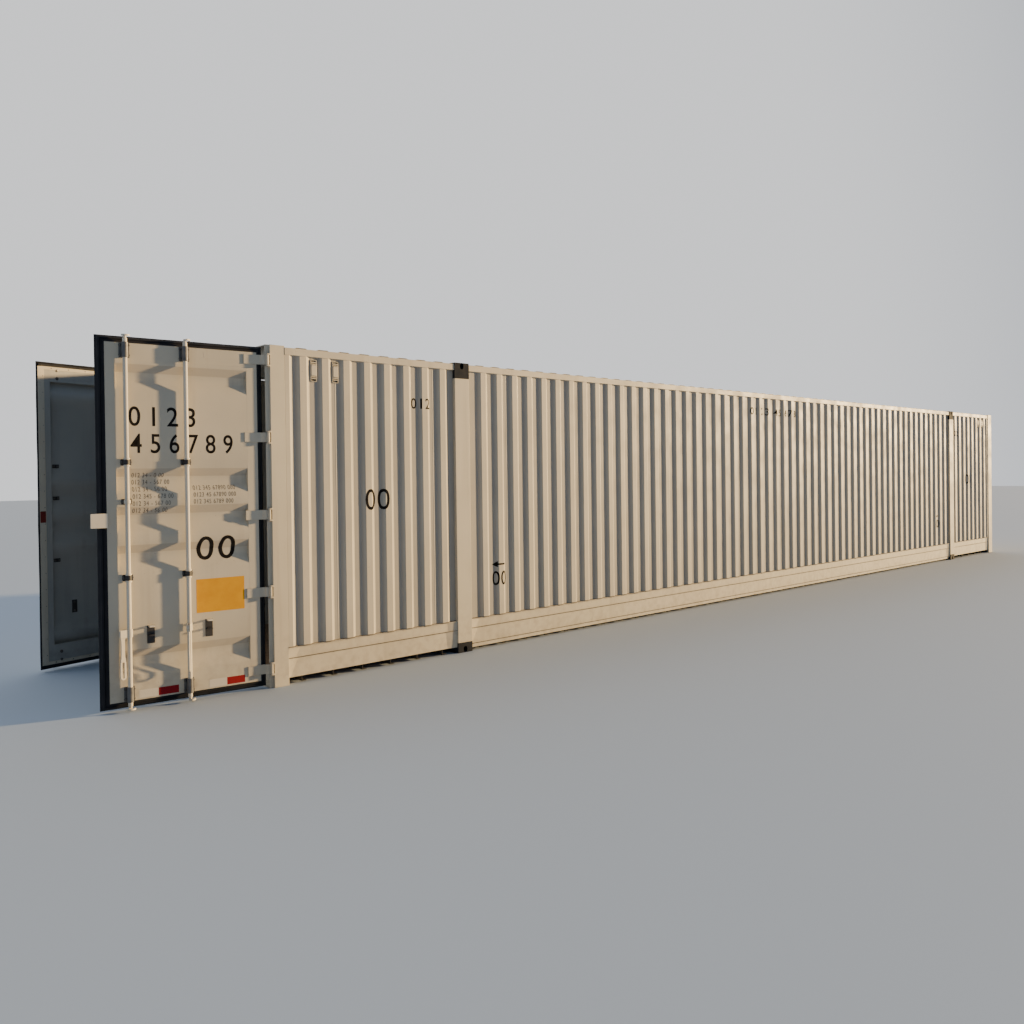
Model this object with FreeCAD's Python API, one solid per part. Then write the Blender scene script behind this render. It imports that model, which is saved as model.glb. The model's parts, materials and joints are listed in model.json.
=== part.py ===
import FreeCAD, Part
import math
import os

from FreeCAD import Vector

# A 53-foot high-cube shipping container: a welded steel box with two hinged doors at the -X end.
# X runs along the length towards the closed front, Z is up, and the base lies on z = 0.
# "in" sizes near the doors are measured inwards from the end plane, and "out" sizes from the
# centre plane y = 0, so one set of numbers serves the right door (-Y) and the left door (+Y).

# overall size
length = 16154.0
width = 2600.0
height = 2896.0

# lifting frames at the forty-foot positions
frame_post = 178.0
lock_spacing_x = 11985.0
lock_spacing_y = 2259.0
lock_to_face = 103.5
lock_to_inner_end = 89.5
lock_slot_length = 124.5
lock_slot_width = 63.5
casting_wall = 12.0
bottom_casting_height = 100.0
top_casting_height = 156.0
casting_beam_height = 64.0
side_hole_height = 62.0
side_hole_width = 44.0

# steel plate and sections
sheet = 2.0
plate = 4.0
heavy_plate = 6.0
post_wall = 6.0

# side walls
wall_setback = 11.0
wall_depth = 25.0
wall_pitch = 212.0
ridge_flat = 62.0
ridge_slope = 38.0
door_end_strip = 40.0
first_valley = 23.0
end_valley_least = 30.0

# rails
top_rail_height = 60.0
top_rail_width = 56.0
top_rail_proud = 3.0
bottom_rail_low = 60.0
bottom_rail_high = 320.0
bottom_rail_lap = 90.0
lap_plate = 4.0
rail_top_flange = 4.0
gusset_length = 140.0
gusset_foot = 17.5
far_gusset_foot = 112.0
skirt_drop = 30.0

# roof and floor
roof_depth = 10.0
roof_pitch = 209.0
roof_flat = 85.0
roof_slope = 19.5
floor_top = 100.0
floor_board = 28.0
beam_height = 60.0
beam_flange = 45.0
beam_pitch = 305.0
beam_margin = 150.0

# end frames
end_rail_depth = 64.0
end_rail_clear = 2.0
header_height = 62.0
front_wall_depth = 28.0
front_pitch = 250.0
front_flat = 95.0
front_slope = 30.0

# door-end posts, whose front is stepped around the closed doors
rebate_front = 14.0
rebate_plate = 8.0
rebate_depth = 36.0
jamb_width = 26.0
post_width = 64.0

# doors
door_gap = 4.0
edge_clear = 5.0
door_face = 64.0
door_thick = 50.0
door_back_clear = 6.0
door_low = 34.0
seal_side = 40.0
seal_end = 28.0
seal_setback = 4.0
seal_back = 2.0
stile_free = 84.0
stile_hinge = 96.0
header_flat = 140.0
sill_flat = 180.0
trough_depth = 36.0
trough_slope = 62.0
trough_flat = 74.0
low_trough = 331.0
high_trough = 297.0
trough_spacing = 295.0

# hinges
pin_in = 28.0
pin_edge = 13.0
pin_radius = 8.0
pin_clear = 0.4
knuckle_radius = 12.0
blade_height = 80.0
blade_thick = 9.0
blade_offset = 5.0
blade_length = 187.0
blade_jamb_lap = 3.0
blade_bend_run = 26.0
lug_thick = 12.0
lug_gap = 2.0
notch_clear = 6.0
hinge_count = 5
low_hinge = 166.0
high_hinge_drop = 132.0

# lock rods
rod_places = (190.0, 627.0)
rod_standoff = 34.0
rod_radius = 17.0
rod_end_radius = 12.0
rod_end_length = 26.0
rod_low = 15.0
rod_clear = 0.5
cam_height = 13.0
cam_clear = 5.0
claw_thick = 10.0
claw_behind = 40.0
claw_ahead = 65.0
web_angle = 60.0
web_thick = 10.0
tooth_thick = 8.0
tooth_width = 16.0
cheek_clear = 6.0
cheek_width = 12.0
cheek_depth = 20.0
keeper_plate = 8.0

# rod guides
collar_wall = 6.0
guide_height = 36.0
guide_plate = 6.0
guide_width = 76.0
guide_web = 26.0
end_guide_height = 116.0
end_guide_low = 72.0
guide_spacing = 884.0
seal_box_rise = 141.0
seal_box_size = 30.0

# handles
handle_height = 600.0
handle_hub_clear = 7.0
handle_length = 350.0
handle_width = 44.0
handle_thick = 12.0
handle_pin_radius = 5.0
handle_pin_clear = 0.3
hub_height = 60.0
hub_cheek = 6.0
hub_side_clear = 0.5
catch_reach = 160.0
catch_drop = 100.0
catch_rise = 40.0
catch_width = 56.0
jaw_width = 36.0
jaw_thick = 12.0
jaw_reach = 42.0
jaw_clear = 6.0

# cover plate on the free edge of the right door
cover_height = 110.0
cover_reach = 60.0
cover_seat = 20.0
cover_thick = 7.0
cover_clear = 7.0

# small louvred boxes high on the side walls
vent_drop = 96.0
vent_height = 190.0
vent_width = 60.0
vent_depth = 20.0

# how far the doors and rods stand from closed and locked, in degrees
right_door_open = 84.0
left_door_open = 74.0
rod_turns = (165.0, 110.0)

# places worked out from the sizes above
half_length = length / 2
half_width = width / 2
wall_face = half_width - wall_setback
wall_inner = wall_face - wall_depth - sheet
frame_outer = lock_spacing_x / 2 + lock_to_face
frame_inner = frame_outer - frame_post
casting_inner = lock_spacing_y / 2 - lock_to_inner_end
rail_top = height - end_rail_clear - roof_depth - sheet
rail_under = rail_top - top_rail_height
jamb_front = rebate_front + rebate_depth
jamb_back = door_face + door_thick + door_back_clear
end_post_depth = jamb_back + end_rail_depth
bay_end = half_length - end_post_depth
header_top = height - end_rail_clear
header_under = header_top - header_height
jamb_inner = wall_face - jamb_width
post_inner = wall_face - post_width
door_high = height - door_low
top_trough = door_high - high_trough
bottom_trough = door_low + low_trough
door_middle = (bottom_trough + top_trough) / 2
trough_heights = (bottom_trough, door_middle - trough_spacing, door_middle,
                  door_middle + trough_spacing, top_trough)
pin_out = half_width - pin_edge
blade_end = pin_out - blade_length
hinge_step = (height - high_hinge_drop - low_hinge) / (hinge_count - 1)
hinge_heights = [low_hinge + number * hinge_step for number in range(hinge_count)]
rod_in = door_face - rod_standoff
rod_high = header_top - keeper_plate - cam_clear
guide_heights = (door_middle - guide_spacing / 2, door_middle + guide_spacing / 2)
tooth_near = rod_end_radius + cam_clear
claw_inner = tooth_near + tooth_thick + cam_clear
claw_outer = claw_inner + claw_thick
handle_pivot = rod_radius + collar_wall + handle_hub_clear + handle_width / 2


def box(x, y, z):
    """A block between the two values given for each direction."""
    size = [abs(pair[1] - pair[0]) for pair in (x, y, z)]
    return Part.makeBox(size[0], size[1], size[2], Vector(min(x), min(y), min(z)))


def prism(points, run):
    """A polygon of 3D points carried along the vector run."""
    corners = [Vector(*point) for point in points]
    return Part.Face(Part.makePolygon(corners + corners[:1])).extrude(run)


def upright(points, low, high):
    """A plan outline of (x, y) points carried from low to high."""
    return prism([(x, y, low) for x, y in points], Vector(0, 0, high - low))


def lengthwise(points, start, end):
    """A section of (y, z) points carried along X."""
    return prism([(start, y, z) for y, z in points], Vector(end - start, 0, 0))


def crosswise(points, start, end):
    """A section of (x, z) points carried along Y."""
    return prism([(x, start, z) for x, z in points], Vector(0, end - start, 0))


def post(x, y, low, high, radius):
    """A round bar standing at (x, y)."""
    return Part.makeCylinder(radius, high - low, Vector(x, y, low))


def fuse(first, *others):
    """One solid from pieces that touch or overlap."""
    return first.multiFuse(list(others)).removeSplitter()


def box_tube(x, y, z, along, wall=plate):
    """A square tube with open ends; along is 0, 1 or 2 for X, Y or Z."""
    inner = [[min(pair) + wall, max(pair) - wall] for pair in (x, y, z)]
    inner[along] = [min((x, y, z)[along]), max((x, y, z)[along])]
    return box(x, y, z).cut(box(*inner))


def fold(marks, steps):
    """Corners of a folded line: each step is a run forward and a change of level."""
    line = [marks]
    for run, rise in steps:
        last = line[-1]
        line.append((last[0] + run, last[1] + rise))
    return line


def folded_sheet(line, level_shift):
    """Closed outline of a sheet from one face's line and its shift to the other face."""
    other = [(along, level + level_shift) for along, level in reversed(line)]
    return line + other


def save(name, *solids):
    shape = solids[0] if len(solids) == 1 else Part.makeCompound(list(solids))
    shape.exportStep("parts/%s.step" % name)


# ---- corrugated sheets


def wall_line(start, end, depth, ridges, pitch, flat, slope, lead):
    """Wave of a wall from start to end, which begins and ends on the low level.

    lead is the low stretch before the first ridge; the ridge tops are depth above it.
    """
    valley = pitch - flat - 2 * slope
    steps = [(lead, 0.0)]
    for number in range(ridges):
        steps += [(slope, depth), (flat, 0.0), (slope, -depth)]
        if number < ridges - 1:
            steps.append((valley, 0.0))
    line = fold((start, 0.0), steps)
    line.append((end, 0.0))
    return line


def ridge_count(room, pitch, flat, slope):
    """How many ridges fit in a stretch with at least a short low part at each end."""
    return math.floor((room - flat - 2 * slope - 2 * end_valley_least) / pitch) + 1


def side_sheet(side, line):
    """A side wall's sheet from a wave of (x, height above the valleys)."""
    valley = wall_face - wall_depth
    outline = folded_sheet([(x, valley + rise) for x, rise in line], -sheet)
    return upright([(x, side * out) for x, out in outline], bottom_rail_high, rail_under)


def end_bay_line():
    """Wave of the bay at the door end; the front bay is its mirror image."""
    start = -bay_end
    lead = door_end_strip + ridge_slope + first_valley
    ridges = ridge_count(bay_end - frame_outer - lead, wall_pitch, ridge_flat, ridge_slope)
    line = wall_line(start, -frame_outer, wall_depth, ridges, wall_pitch,
                     ridge_flat, ridge_slope, lead)
    strip = [(start, wall_depth), (start + door_end_strip, wall_depth),
             (start + door_end_strip + ridge_slope, 0.0)]
    return strip + line[1:]


def middle_bay_line():
    ridges = ridge_count(2 * frame_inner, wall_pitch, ridge_flat, ridge_slope)
    span = (ridges - 1) * wall_pitch + ridge_flat + 2 * ridge_slope
    return wall_line(-frame_inner, frame_inner, wall_depth, ridges, wall_pitch,
                     ridge_flat, ridge_slope, (2 * frame_inner - span) / 2)


def side_walls():
    rear = end_bay_line()
    front = [(-x, rise) for x, rise in reversed(rear)]
    middle = middle_bay_line()
    for side, word in ((-1, "right"), (1, "left")):
        save("%s_wall" % word, *[side_sheet(side, line) for line in (rear, middle, front)])


def roof_sheet(start, end):
    """Sheet between two frames; its ridges run across the container."""
    ridges = ridge_count(end - start, roof_pitch, roof_flat, roof_slope)
    span = (ridges - 1) * roof_pitch + roof_flat + 2 * roof_slope
    wave = wall_line(start, end, roof_depth, ridges, roof_pitch, roof_flat, roof_slope,
                     (end - start - span) / 2)
    outline = folded_sheet([(x, rail_top + rise) for x, rise in wave], sheet)
    return crosswise(outline, -wall_inner, wall_inner)


def roof():
    save("roof", roof_sheet(-bay_end, -frame_outer), roof_sheet(-frame_inner, frame_inner),
         roof_sheet(frame_outer, half_length - end_rail_depth))


def front_wall():
    edge = wall_inner
    ridges = ridge_count(2 * edge, front_pitch, front_flat, front_slope)
    span = (ridges - 1) * front_pitch + front_flat + 2 * front_slope
    wave = wall_line(-edge, edge, front_wall_depth, ridges, front_pitch,
                     front_flat, front_slope, (2 * edge - span) / 2)
    face = half_length - front_wall_depth - end_rail_clear
    outline = folded_sheet([(y, face + rise) for y, rise in wave], -sheet)
    save("front_wall", upright([(x, y) for y, x in outline], floor_top, header_under))


# ---- frames and rails


def casting(x_side, side, low, high, beam_low, beam_high, slot_face):
    """A hollow corner fitting: an upright outer block, and a flat block that reaches inwards.

    slot_face is the height of the face that the twist-lock slot goes through.
    """
    x = [x_side * frame_inner, x_side * frame_outer]
    solid = fuse(box(x, [side * wall_inner, side * half_width], [low, high]),
                 box(x, [side * casting_inner, side * wall_inner], [beam_low, beam_high]))
    room_x = [x_side * (frame_inner + casting_wall), x_side * (frame_outer - casting_wall)]
    room = box(room_x, [side * (casting_inner + casting_wall), side * (half_width - casting_wall)],
               [beam_low + casting_wall, beam_high - casting_wall])
    centre_x = x_side * (frame_inner + frame_outer) / 2
    slot = long_hole(x_side * lock_spacing_x / 2, side * lock_spacing_y / 2, slot_face,
                     lock_slot_length, lock_slot_width, casting_wall)
    middle = (beam_low + beam_high) / 2
    hole = side_hole(centre_x, side, middle)
    return solid.cut(room).cut(slot).cut(hole)


def long_hole(x, y, face, long, wide, depth):
    """A round-ended slot along X through the plate on either side of the height face."""
    radius = wide / 2
    straight = long / 2 - radius
    low = face - depth
    high = face + depth
    core = box([x - straight, x + straight], [y - radius, y + radius], [low, high])
    return fuse(core, post(x - straight, y, low, high, radius), post(x + straight, y, low, high, radius))


def side_hole(x, side, z):
    """The upright round-ended hole in a casting's outer face."""
    radius = side_hole_width / 2
    straight = side_hole_height / 2 - radius
    start = side * (half_width - 2 * casting_wall)
    run = Vector(0, side * 3 * casting_wall, 0)
    core = box([x - radius, x + radius], [start, start + run.y], [z - straight, z + straight])
    ends = [Part.makeCylinder(radius, run.Length, Vector(x, start, z + shift), run)
            for shift in (-straight, straight)]
    return fuse(core, *ends)


def castings():
    top = []
    bottom = []
    for x_side in (-1, 1):
        for side in (-1, 1):
            top.append(casting(x_side, side, height - top_casting_height, height,
                               height - casting_beam_height, height, height))
            bottom.append(casting(x_side, side, 0.0, bottom_casting_height,
                                  0.0, casting_beam_height, 0.0))
    save("top_castings", *top)
    save("bottom_castings", *bottom)


def lifting_frames():
    posts = []
    bows = []
    bolsters = []
    for x_side in (-1, 1):
        x = [x_side * frame_inner, x_side * frame_outer]
        across = [-casting_inner, casting_inner]
        bows.append(box_tube(x, across, [height - casting_beam_height, header_top], 1, heavy_plate))
        bolsters.append(box_tube(x, across, [floor_top - floor_board - beam_height,
                                             floor_top - floor_board], 1, heavy_plate))
        for side in (-1, 1):
            out = [side * wall_inner, side * half_width]
            posts.append(box_tube(x, out, [bottom_casting_height, height - top_casting_height],
                                  2, post_wall))
    save("lifting_frame_posts", *posts)
    save("lifting_frame_roof_beams", *bows)
    save("lifting_frame_floor_beams", *bolsters)


def side_bays():
    """Start and end of the three bays between the posts, and how far each bay's rail hangs lower."""
    return ((-bay_end, -frame_outer, 0.0), (-frame_inner, frame_inner, skirt_drop),
            (frame_outer, bay_end, 0.0))


def gusset(side, x, reach, top_length, bottom_length):
    """A sloped filler from the post's face at x down to the rail's web, reach being its way along X."""
    web = wall_inner + heavy_plate
    face = wall_face
    low = bottom_rail_low
    high = bottom_rail_high - rail_top_flange
    back = side * web
    front = side * face
    top = [(x, back, high), (x, front, high), (x + reach * top_length, back, high)]
    bottom = [(x, back, low), (x, front - side * (face - web) * (1 - bottom_length / top_length), low),
              (x + reach * bottom_length, back, low)]
    return wedge(top, bottom)


def wedge(top, bottom):
    """A solid between two triangles, corner to corner."""
    upper = [Vector(*point) for point in top]
    lower = [Vector(*point) for point in bottom]
    faces = [Part.Face(Part.makePolygon(upper + upper[:1])), Part.Face(Part.makePolygon(lower + lower[:1]))]
    for first in range(3):
        second = (first + 1) % 3
        one = [upper[first], upper[second], lower[second], upper[first]]
        two = [upper[first], lower[second], lower[first], upper[first]]
        faces += [Part.Face(Part.makePolygon(one)), Part.Face(Part.makePolygon(two))]
    solid = Part.makeSolid(Part.makeShell(faces))
    if solid.Volume < 0:
        solid.reverse()
    return solid


def bottom_rail(side, start, end, low):
    """Web, lapped upper strip and top flange of one bay, with sloped ends against the posts."""
    seat = wall_inner
    web = seat + heavy_plate
    fold_height = bottom_rail_high - bottom_rail_lap
    section = [(seat, low), (web, low), (web, fold_height), (web + lap_plate, fold_height),
               (web + lap_plate, bottom_rail_high - rail_top_flange),
               (wall_face, bottom_rail_high - rail_top_flange), (wall_face, bottom_rail_high),
               (seat, bottom_rail_high)]
    body = lengthwise([(side * out, z) for out, z in section], start, end)
    near = gusset(side, start, 1, gusset_length, gusset_foot)
    far = gusset(side, end, -1, gusset_length, far_gusset_foot)
    return fuse(body, near, far)


def rails():
    top = []
    bottom = []
    for side in (-1, 1):
        for start, end, drop in side_bays():
            outer = wall_face + top_rail_proud
            out = [side * (outer - top_rail_width), side * outer]
            top.append(box_tube([start, end], out, [rail_under, rail_top], 0))
            bottom.append(bottom_rail(side, start, end, bottom_rail_low - drop))
    save("top_rails", *top)
    save("bottom_rails", *bottom)


def floor():
    edge = wall_inner
    front = half_length - end_rail_depth
    save("floor", box([-bay_end, front], [-edge, edge], [floor_top - floor_board, floor_top]))


def crossmembers():
    """Channels under the floor, evenly spaced in each bay."""
    top = floor_top - floor_board
    low = top - beam_height
    ends = ((-bay_end, -frame_outer), (-frame_inner, frame_inner),
            (frame_outer, half_length - end_rail_depth))
    beams = []
    for start, end in ends:
        room = end - start - 2 * beam_margin
        count = round(room / beam_pitch)
        for number in range(count + 1):
            x = start + beam_margin + room * number / count - beam_flange / 2
            section = [(x, low), (x + beam_flange, low), (x + beam_flange, low + plate),
                       (x + plate, low + plate), (x + plate, top - plate),
                       (x + beam_flange, top - plate), (x + beam_flange, top), (x, top)]
            beams.append(crosswise(section, -wall_inner, wall_inner))
    save("floor_crossmembers", *beams)


def front_frame():
    x = [half_length - end_rail_depth, half_length]
    edge = wall_inner
    posts = [box_tube([bay_end, half_length], [side * edge, side * half_width],
                      [0.0, height], 2, post_wall) for side in (-1, 1)]
    save("front_corner_posts", *posts)
    save("front_header", box_tube(x, [-edge, edge], [header_under, header_top], 1))
    save("front_sill", box_tube(x, [-edge, edge], [end_rail_clear, floor_top], 1))


def ventilators():
    """Louvred boxes in the first two valleys at each end of both walls."""
    seat = wall_face - wall_depth
    ridge = ridge_flat + 2 * ridge_slope
    valley = wall_pitch - ridge
    first = -bay_end + door_end_strip + ridge_slope + first_valley + ridge
    high = height - vent_drop
    boxes = []
    for number in range(2):
        centre = first + number * wall_pitch + valley / 2
        for x in (centre, -centre):
            for side in (-1, 1):
                boxes.append(box([x - vent_width / 2, x + vent_width / 2],
                                 [side * seat, side * (seat + vent_depth)], [high - vent_height, high]))
    save("ventilators", *boxes)


# ---- door end


def place(side, inwards, out):
    """Plan position from the distance in from the end plane and out from the centre plane."""
    return (-half_length + inwards, side * out)


def plan(side, points, low, high):
    return upright([place(side, inwards, out) for inwards, out in points], low, high)


def block(side, inwards, out, z):
    """A block given by its ranges in from the end plane, out from the centre, and in height."""
    x = [-half_length + inwards[0], -half_length + inwards[1]]
    return box(x, [side * out[0], side * out[1]], z)


def door_post(side):
    """Hollow stepped post with a thin front lip, which is notched at each hinge."""
    front = jamb_front
    step = jamb_back
    back = end_post_depth
    outline = [(front, jamb_inner), (step, jamb_inner), (step, post_inner), (back, post_inner),
               (back, wall_face), (front, wall_face)]
    w = post_wall
    hollow = [(front + w, jamb_inner + w), (step + w, jamb_inner + w), (step + w, post_inner + w),
              (back - w, post_inner + w), (back - w, wall_face - w), (front + w, wall_face - w)]
    solid = plan(side, outline, 0.0, height).cut(plan(side, hollow, 0.0, height))
    lip = block(side, [rebate_front, front], [jamb_inner, jamb_inner + rebate_plate], [0.0, height])
    reach = blade_height / 2 + notch_clear
    for z in hinge_heights:
        lip = lip.cut(block(side, [0.0, front], [0.0, half_width], [z - reach, z + reach]))
    return fuse(solid, *lip.Solids)


def door_frame():
    save("door_corner_posts", door_post(-1), door_post(1))
    back = [end_post_depth - end_rail_depth, end_post_depth]
    x = [-half_length + back[0], -half_length + back[1]]
    save("door_header", box_tube(x, [-post_inner, post_inner], [header_under, header_top], 1))
    save("door_sill", box_tube(x, [-post_inner, post_inner], [end_rail_clear, floor_top], 1))
    shelf = [rebate_front, back[0]]
    out = [-jamb_inner, jamb_inner]
    save("keeper_shelves", block(1, shelf, out, [header_top - keeper_plate, header_top]),
         block(1, shelf, out, [end_rail_clear, end_rail_clear + keeper_plate]))


def keeper(side, place_out, low, high):
    """The tooth that a cam's claw closes around, and the two cheeks beside it."""
    near = rod_in + tooth_near
    cheek_out = claw_outer + cheek_clear
    tooth = block(side, [near, near + tooth_thick],
                  [place_out - tooth_width / 2, place_out + tooth_width / 2], [low, high])
    cheeks = [block(side, [rod_in, rod_in + cheek_depth],
                    [place_out + way * cheek_out, place_out + way * (cheek_out + cheek_width)],
                    [low, high]) for way in (-1, 1)]
    return [tooth] + cheeks


def keepers():
    low = end_rail_clear + keeper_plate
    high = header_top - keeper_plate
    reach = cam_clear + cam_height
    solids = []
    for side in (-1, 1):
        for rod_place in rod_places:
            out = door_gap + rod_place
            solids += keeper(side, out, low, low + reach)
            solids += keeper(side, out, high - reach, high)
    save("cam_keepers", *solids)


def hinge_lugs(side):
    """For each hinge, two lugs on the post and the pin through them."""
    x, y = place(side, pin_in, pin_out)
    near = blade_height / 2 + lug_gap
    lugs = []
    for z in hinge_heights:
        pin = post(x, y, z - near - lug_thick, z + near + lug_thick, pin_radius)
        parts = []
        for low, high in ((z - near - lug_thick, z - near), (z + near, z + near + lug_thick)):
            parts.append(post(x, y, low, high, knuckle_radius))
            parts.append(block(side, [pin_in, jamb_front],
                               [pin_out - knuckle_radius, pin_out + knuckle_radius], [low, high]))
        lugs.append(fuse(pin, *parts))
    return lugs


class Door:
    """One leaf, drawn closed and locked and then swung to where it stands."""

    def __init__(self, side, word, opened):
        self.side = side
        self.word = word
        self.turn = -side * opened
        self.inner_edge = door_gap
        self.outer_edge = jamb_inner - edge_clear
        self.back = door_face + door_thick

    def swing(self, solid):
        x, y = place(self.side, pin_in, pin_out)
        solid = solid.copy()
        solid.rotate(Vector(x, y, 0), Vector(0, 0, 1), self.turn)
        return solid

    def save(self, name, *solids):
        save("%s_%s" % (self.word, name), *[self.swing(solid) for solid in solids])

    def block(self, inwards, out, z):
        return block(self.side, inwards, out, z)

    def plan(self, points, low, high):
        return plan(self.side, points, low, high)

    def steel_edges(self):
        return self.inner_edge + seal_side, self.outer_edge - seal_side

    def frame(self):
        """Two upright tubes, and a channel across the top and the bottom that opens to the panel."""
        free, hinge = self.steel_edges()
        low = door_low + seal_end
        high = door_high - seal_end
        depth = [door_face, self.back]
        stiles = []
        for out in ([free, free + stile_free], [hinge - stile_hinge, hinge]):
            hole = [out[0] + plate, out[1] - plate]
            stiles.append(self.block(depth, out, [low, high]).cut(
                self.block([door_face + plate, self.back - plate], hole, [low, high])))
        across = [free + stile_free, hinge - stile_hinge]
        inside = [door_face + plate, self.back - plate]
        sill = self.block(depth, across, [low, low + sill_flat]).cut(
            self.block(inside, across, [low + plate, low + sill_flat]))
        header = self.block(depth, across, [high - header_flat, high]).cut(
            self.block(inside, across, [high - header_flat, high - plate]))
        self.save("door_frame", fuse(stiles[0], stiles[1], sill, header))

    def panel(self):
        """Sheet with level troughs pressed inwards, set between the frame's members."""
        free, hinge = self.steel_edges()
        low = door_low + seal_end + sill_flat
        high = door_high - seal_end - header_flat
        line = [(low, door_face)]
        for centre in trough_heights:
            half = trough_flat / 2
            line += [(centre - half - trough_slope, door_face), (centre - half, door_face + trough_depth),
                     (centre + half, door_face + trough_depth), (centre + half + trough_slope, door_face)]
        line.append((high, door_face))
        outline = folded_sheet(line, sheet)
        points = [(-half_length + inwards, z) for z, inwards in outline]
        start = self.side * (free + stile_free)
        end = self.side * (hinge - stile_hinge)
        self.save("door_panel", crosswise(points, start, end))

    def seal(self):
        free, hinge = self.steel_edges()
        depth = [door_face + seal_setback, self.back - seal_back]
        ring = self.block(depth, [self.inner_edge, self.outer_edge], [door_low, door_high])
        opening = self.block(depth, [free, hinge], [door_low + seal_end, door_high - seal_end])
        self.save("door_gasket", ring.cut(opening))

    def hinges(self):
        """A knuckle on the pin and a cranked blade on the leaf's face, for each hinge."""
        x, y = place(self.side, pin_in, pin_out)
        near = pin_in + blade_offset
        far = near + blade_thick
        seat = door_face - blade_thick
        run = math.hypot(seat - near, blade_bend_run)
        corner = blade_thick * (run - (seat - near)) / blade_bend_run
        bend = jamb_inner - blade_jamb_lap
        outline = [(near, pin_out), (near, bend), (seat, bend - blade_bend_run), (seat, blade_end),
                   (door_face, blade_end), (door_face, bend - blade_bend_run + corner),
                   (far, bend + corner), (far, pin_out)]
        blades = []
        for z in hinge_heights:
            low = z - blade_height / 2
            high = z + blade_height / 2
            blade = fuse(self.plan(outline, low, high), post(x, y, low, high, knuckle_radius))
            blades.append(blade.cut(post(x, y, low, high, pin_radius + pin_clear)))
        self.save("door_hinges", *blades)

    def rod_centre(self, rod_place):
        return place(self.side, rod_in, door_gap + rod_place)

    def guide(self, rod_place, low, high, width):
        """A collar around a rod on a short web and a base plate."""
        x, y = self.rod_centre(rod_place)
        out = door_gap + rod_place
        collar = rod_radius + rod_clear + collar_wall
        base = self.block([door_face - guide_plate, door_face], [out - width / 2, out + width / 2], [low, high])
        web = self.block([rod_in, door_face], [out - guide_web / 2, out + guide_web / 2], [low, high])
        solid = fuse(base, web, post(x, y, low, high, collar))
        return solid.cut(post(x, y, low, high, rod_radius + rod_clear))

    def guides(self):
        solids = []
        for rod_place in rod_places:
            for z in guide_heights:
                solids.append(self.guide(rod_place, z - guide_height / 2, z + guide_height / 2, guide_width))
            solids.append(self.guide(rod_place, end_guide_low, end_guide_low + end_guide_height, guide_width))
            top = door_low + door_high - end_guide_low
            solids.append(self.guide(rod_place, top - end_guide_height, top, guide_width))
        low = door_middle + seal_box_rise - seal_box_size / 2
        solids.append(self.guide(rod_places[0], low, low + seal_box_size, guide_width))
        self.save("rod_guides", *solids)

    def catches(self):
        """A plate with two jaws, open to the front, for each handle."""
        reach = [door_face - guide_plate - jaw_reach, door_face - guide_plate]
        half = handle_width / 2 + jaw_clear
        solids = []
        z_range = [handle_height - catch_drop, handle_height + catch_rise]
        for rod_place in rod_places:
            out = door_gap + rod_place + catch_reach
            base = self.block([door_face - guide_plate, door_face],
                              [out - catch_width / 2, out + catch_width / 2], z_range)
            jaws = [self.block(reach, [out - jaw_width / 2, out + jaw_width / 2], z)
                    for z in ([handle_height - half - jaw_thick, handle_height - half],
                              [handle_height + half, handle_height + half + jaw_thick])]
            solids.append(fuse(base, *jaws))
        self.save("handle_catches", *solids)

    def cover(self):
        """The plate that laps over the other leaf when both are closed."""
        free, hinge = self.steel_edges()
        face = door_face - cover_clear
        z = [door_middle - cover_height / 2, door_middle + cover_height / 2]
        lap = self.block([face - cover_thick, face], [self.inner_edge - cover_reach, free + cover_seat], z)
        seat = self.block([face, door_face], [free, free + cover_seat], z)
        self.save("door_cover_plate", fuse(lap, seat))

    def turn_rod(self, rod_place, turned, solid):
        """Unlocks a rod or its handle by the angle, and swings it with the leaf."""
        x, y = self.rod_centre(rod_place)
        solid = solid.copy()
        solid.rotate(Vector(x, y, 0), Vector(0, 0, 1), self.side * turned)
        return self.swing(solid)

    def around(self, rod_place, angle, radius):
        """A plan point around a rod, at an angle from straight inwards towards the hinge."""
        x, y = self.rod_centre(rod_place)
        a = math.radians(angle)
        return (x + radius * math.cos(a), y + self.side * radius * math.sin(a))

    def claw(self, rod_place, low, high):
        """A ring sector that hooks behind the keeper's tooth, and the web that carries it."""
        start = -claw_behind
        end = claw_ahead
        middle = (start + end) / 2
        at = [Vector(*self.around(rod_place, angle, radius), low)
              for radius, angles in ((claw_outer, (start, middle, end)), (claw_inner, (end, middle, start)))
              for angle in angles]
        edges = [Part.Arc(at[0], at[1], at[2]).toShape(), Part.LineSegment(at[2], at[3]).toShape(),
                 Part.Arc(at[3], at[4], at[5]).toShape(), Part.LineSegment(at[5], at[0]).toShape()]
        sector = Part.Face(Part.Wire(edges)).extrude(Vector(0, 0, high - low))
        x, y = self.rod_centre(rod_place)
        centre_radius = (claw_inner + claw_outer) / 2
        web = box([x, x + centre_radius], [y - web_thick / 2, y + web_thick / 2], [low, high])
        web.rotate(Vector(x, y, 0), Vector(0, 0, 1), self.side * web_angle)
        return fuse(sector, web, post(x, y, low, high, rod_end_radius))

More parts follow.
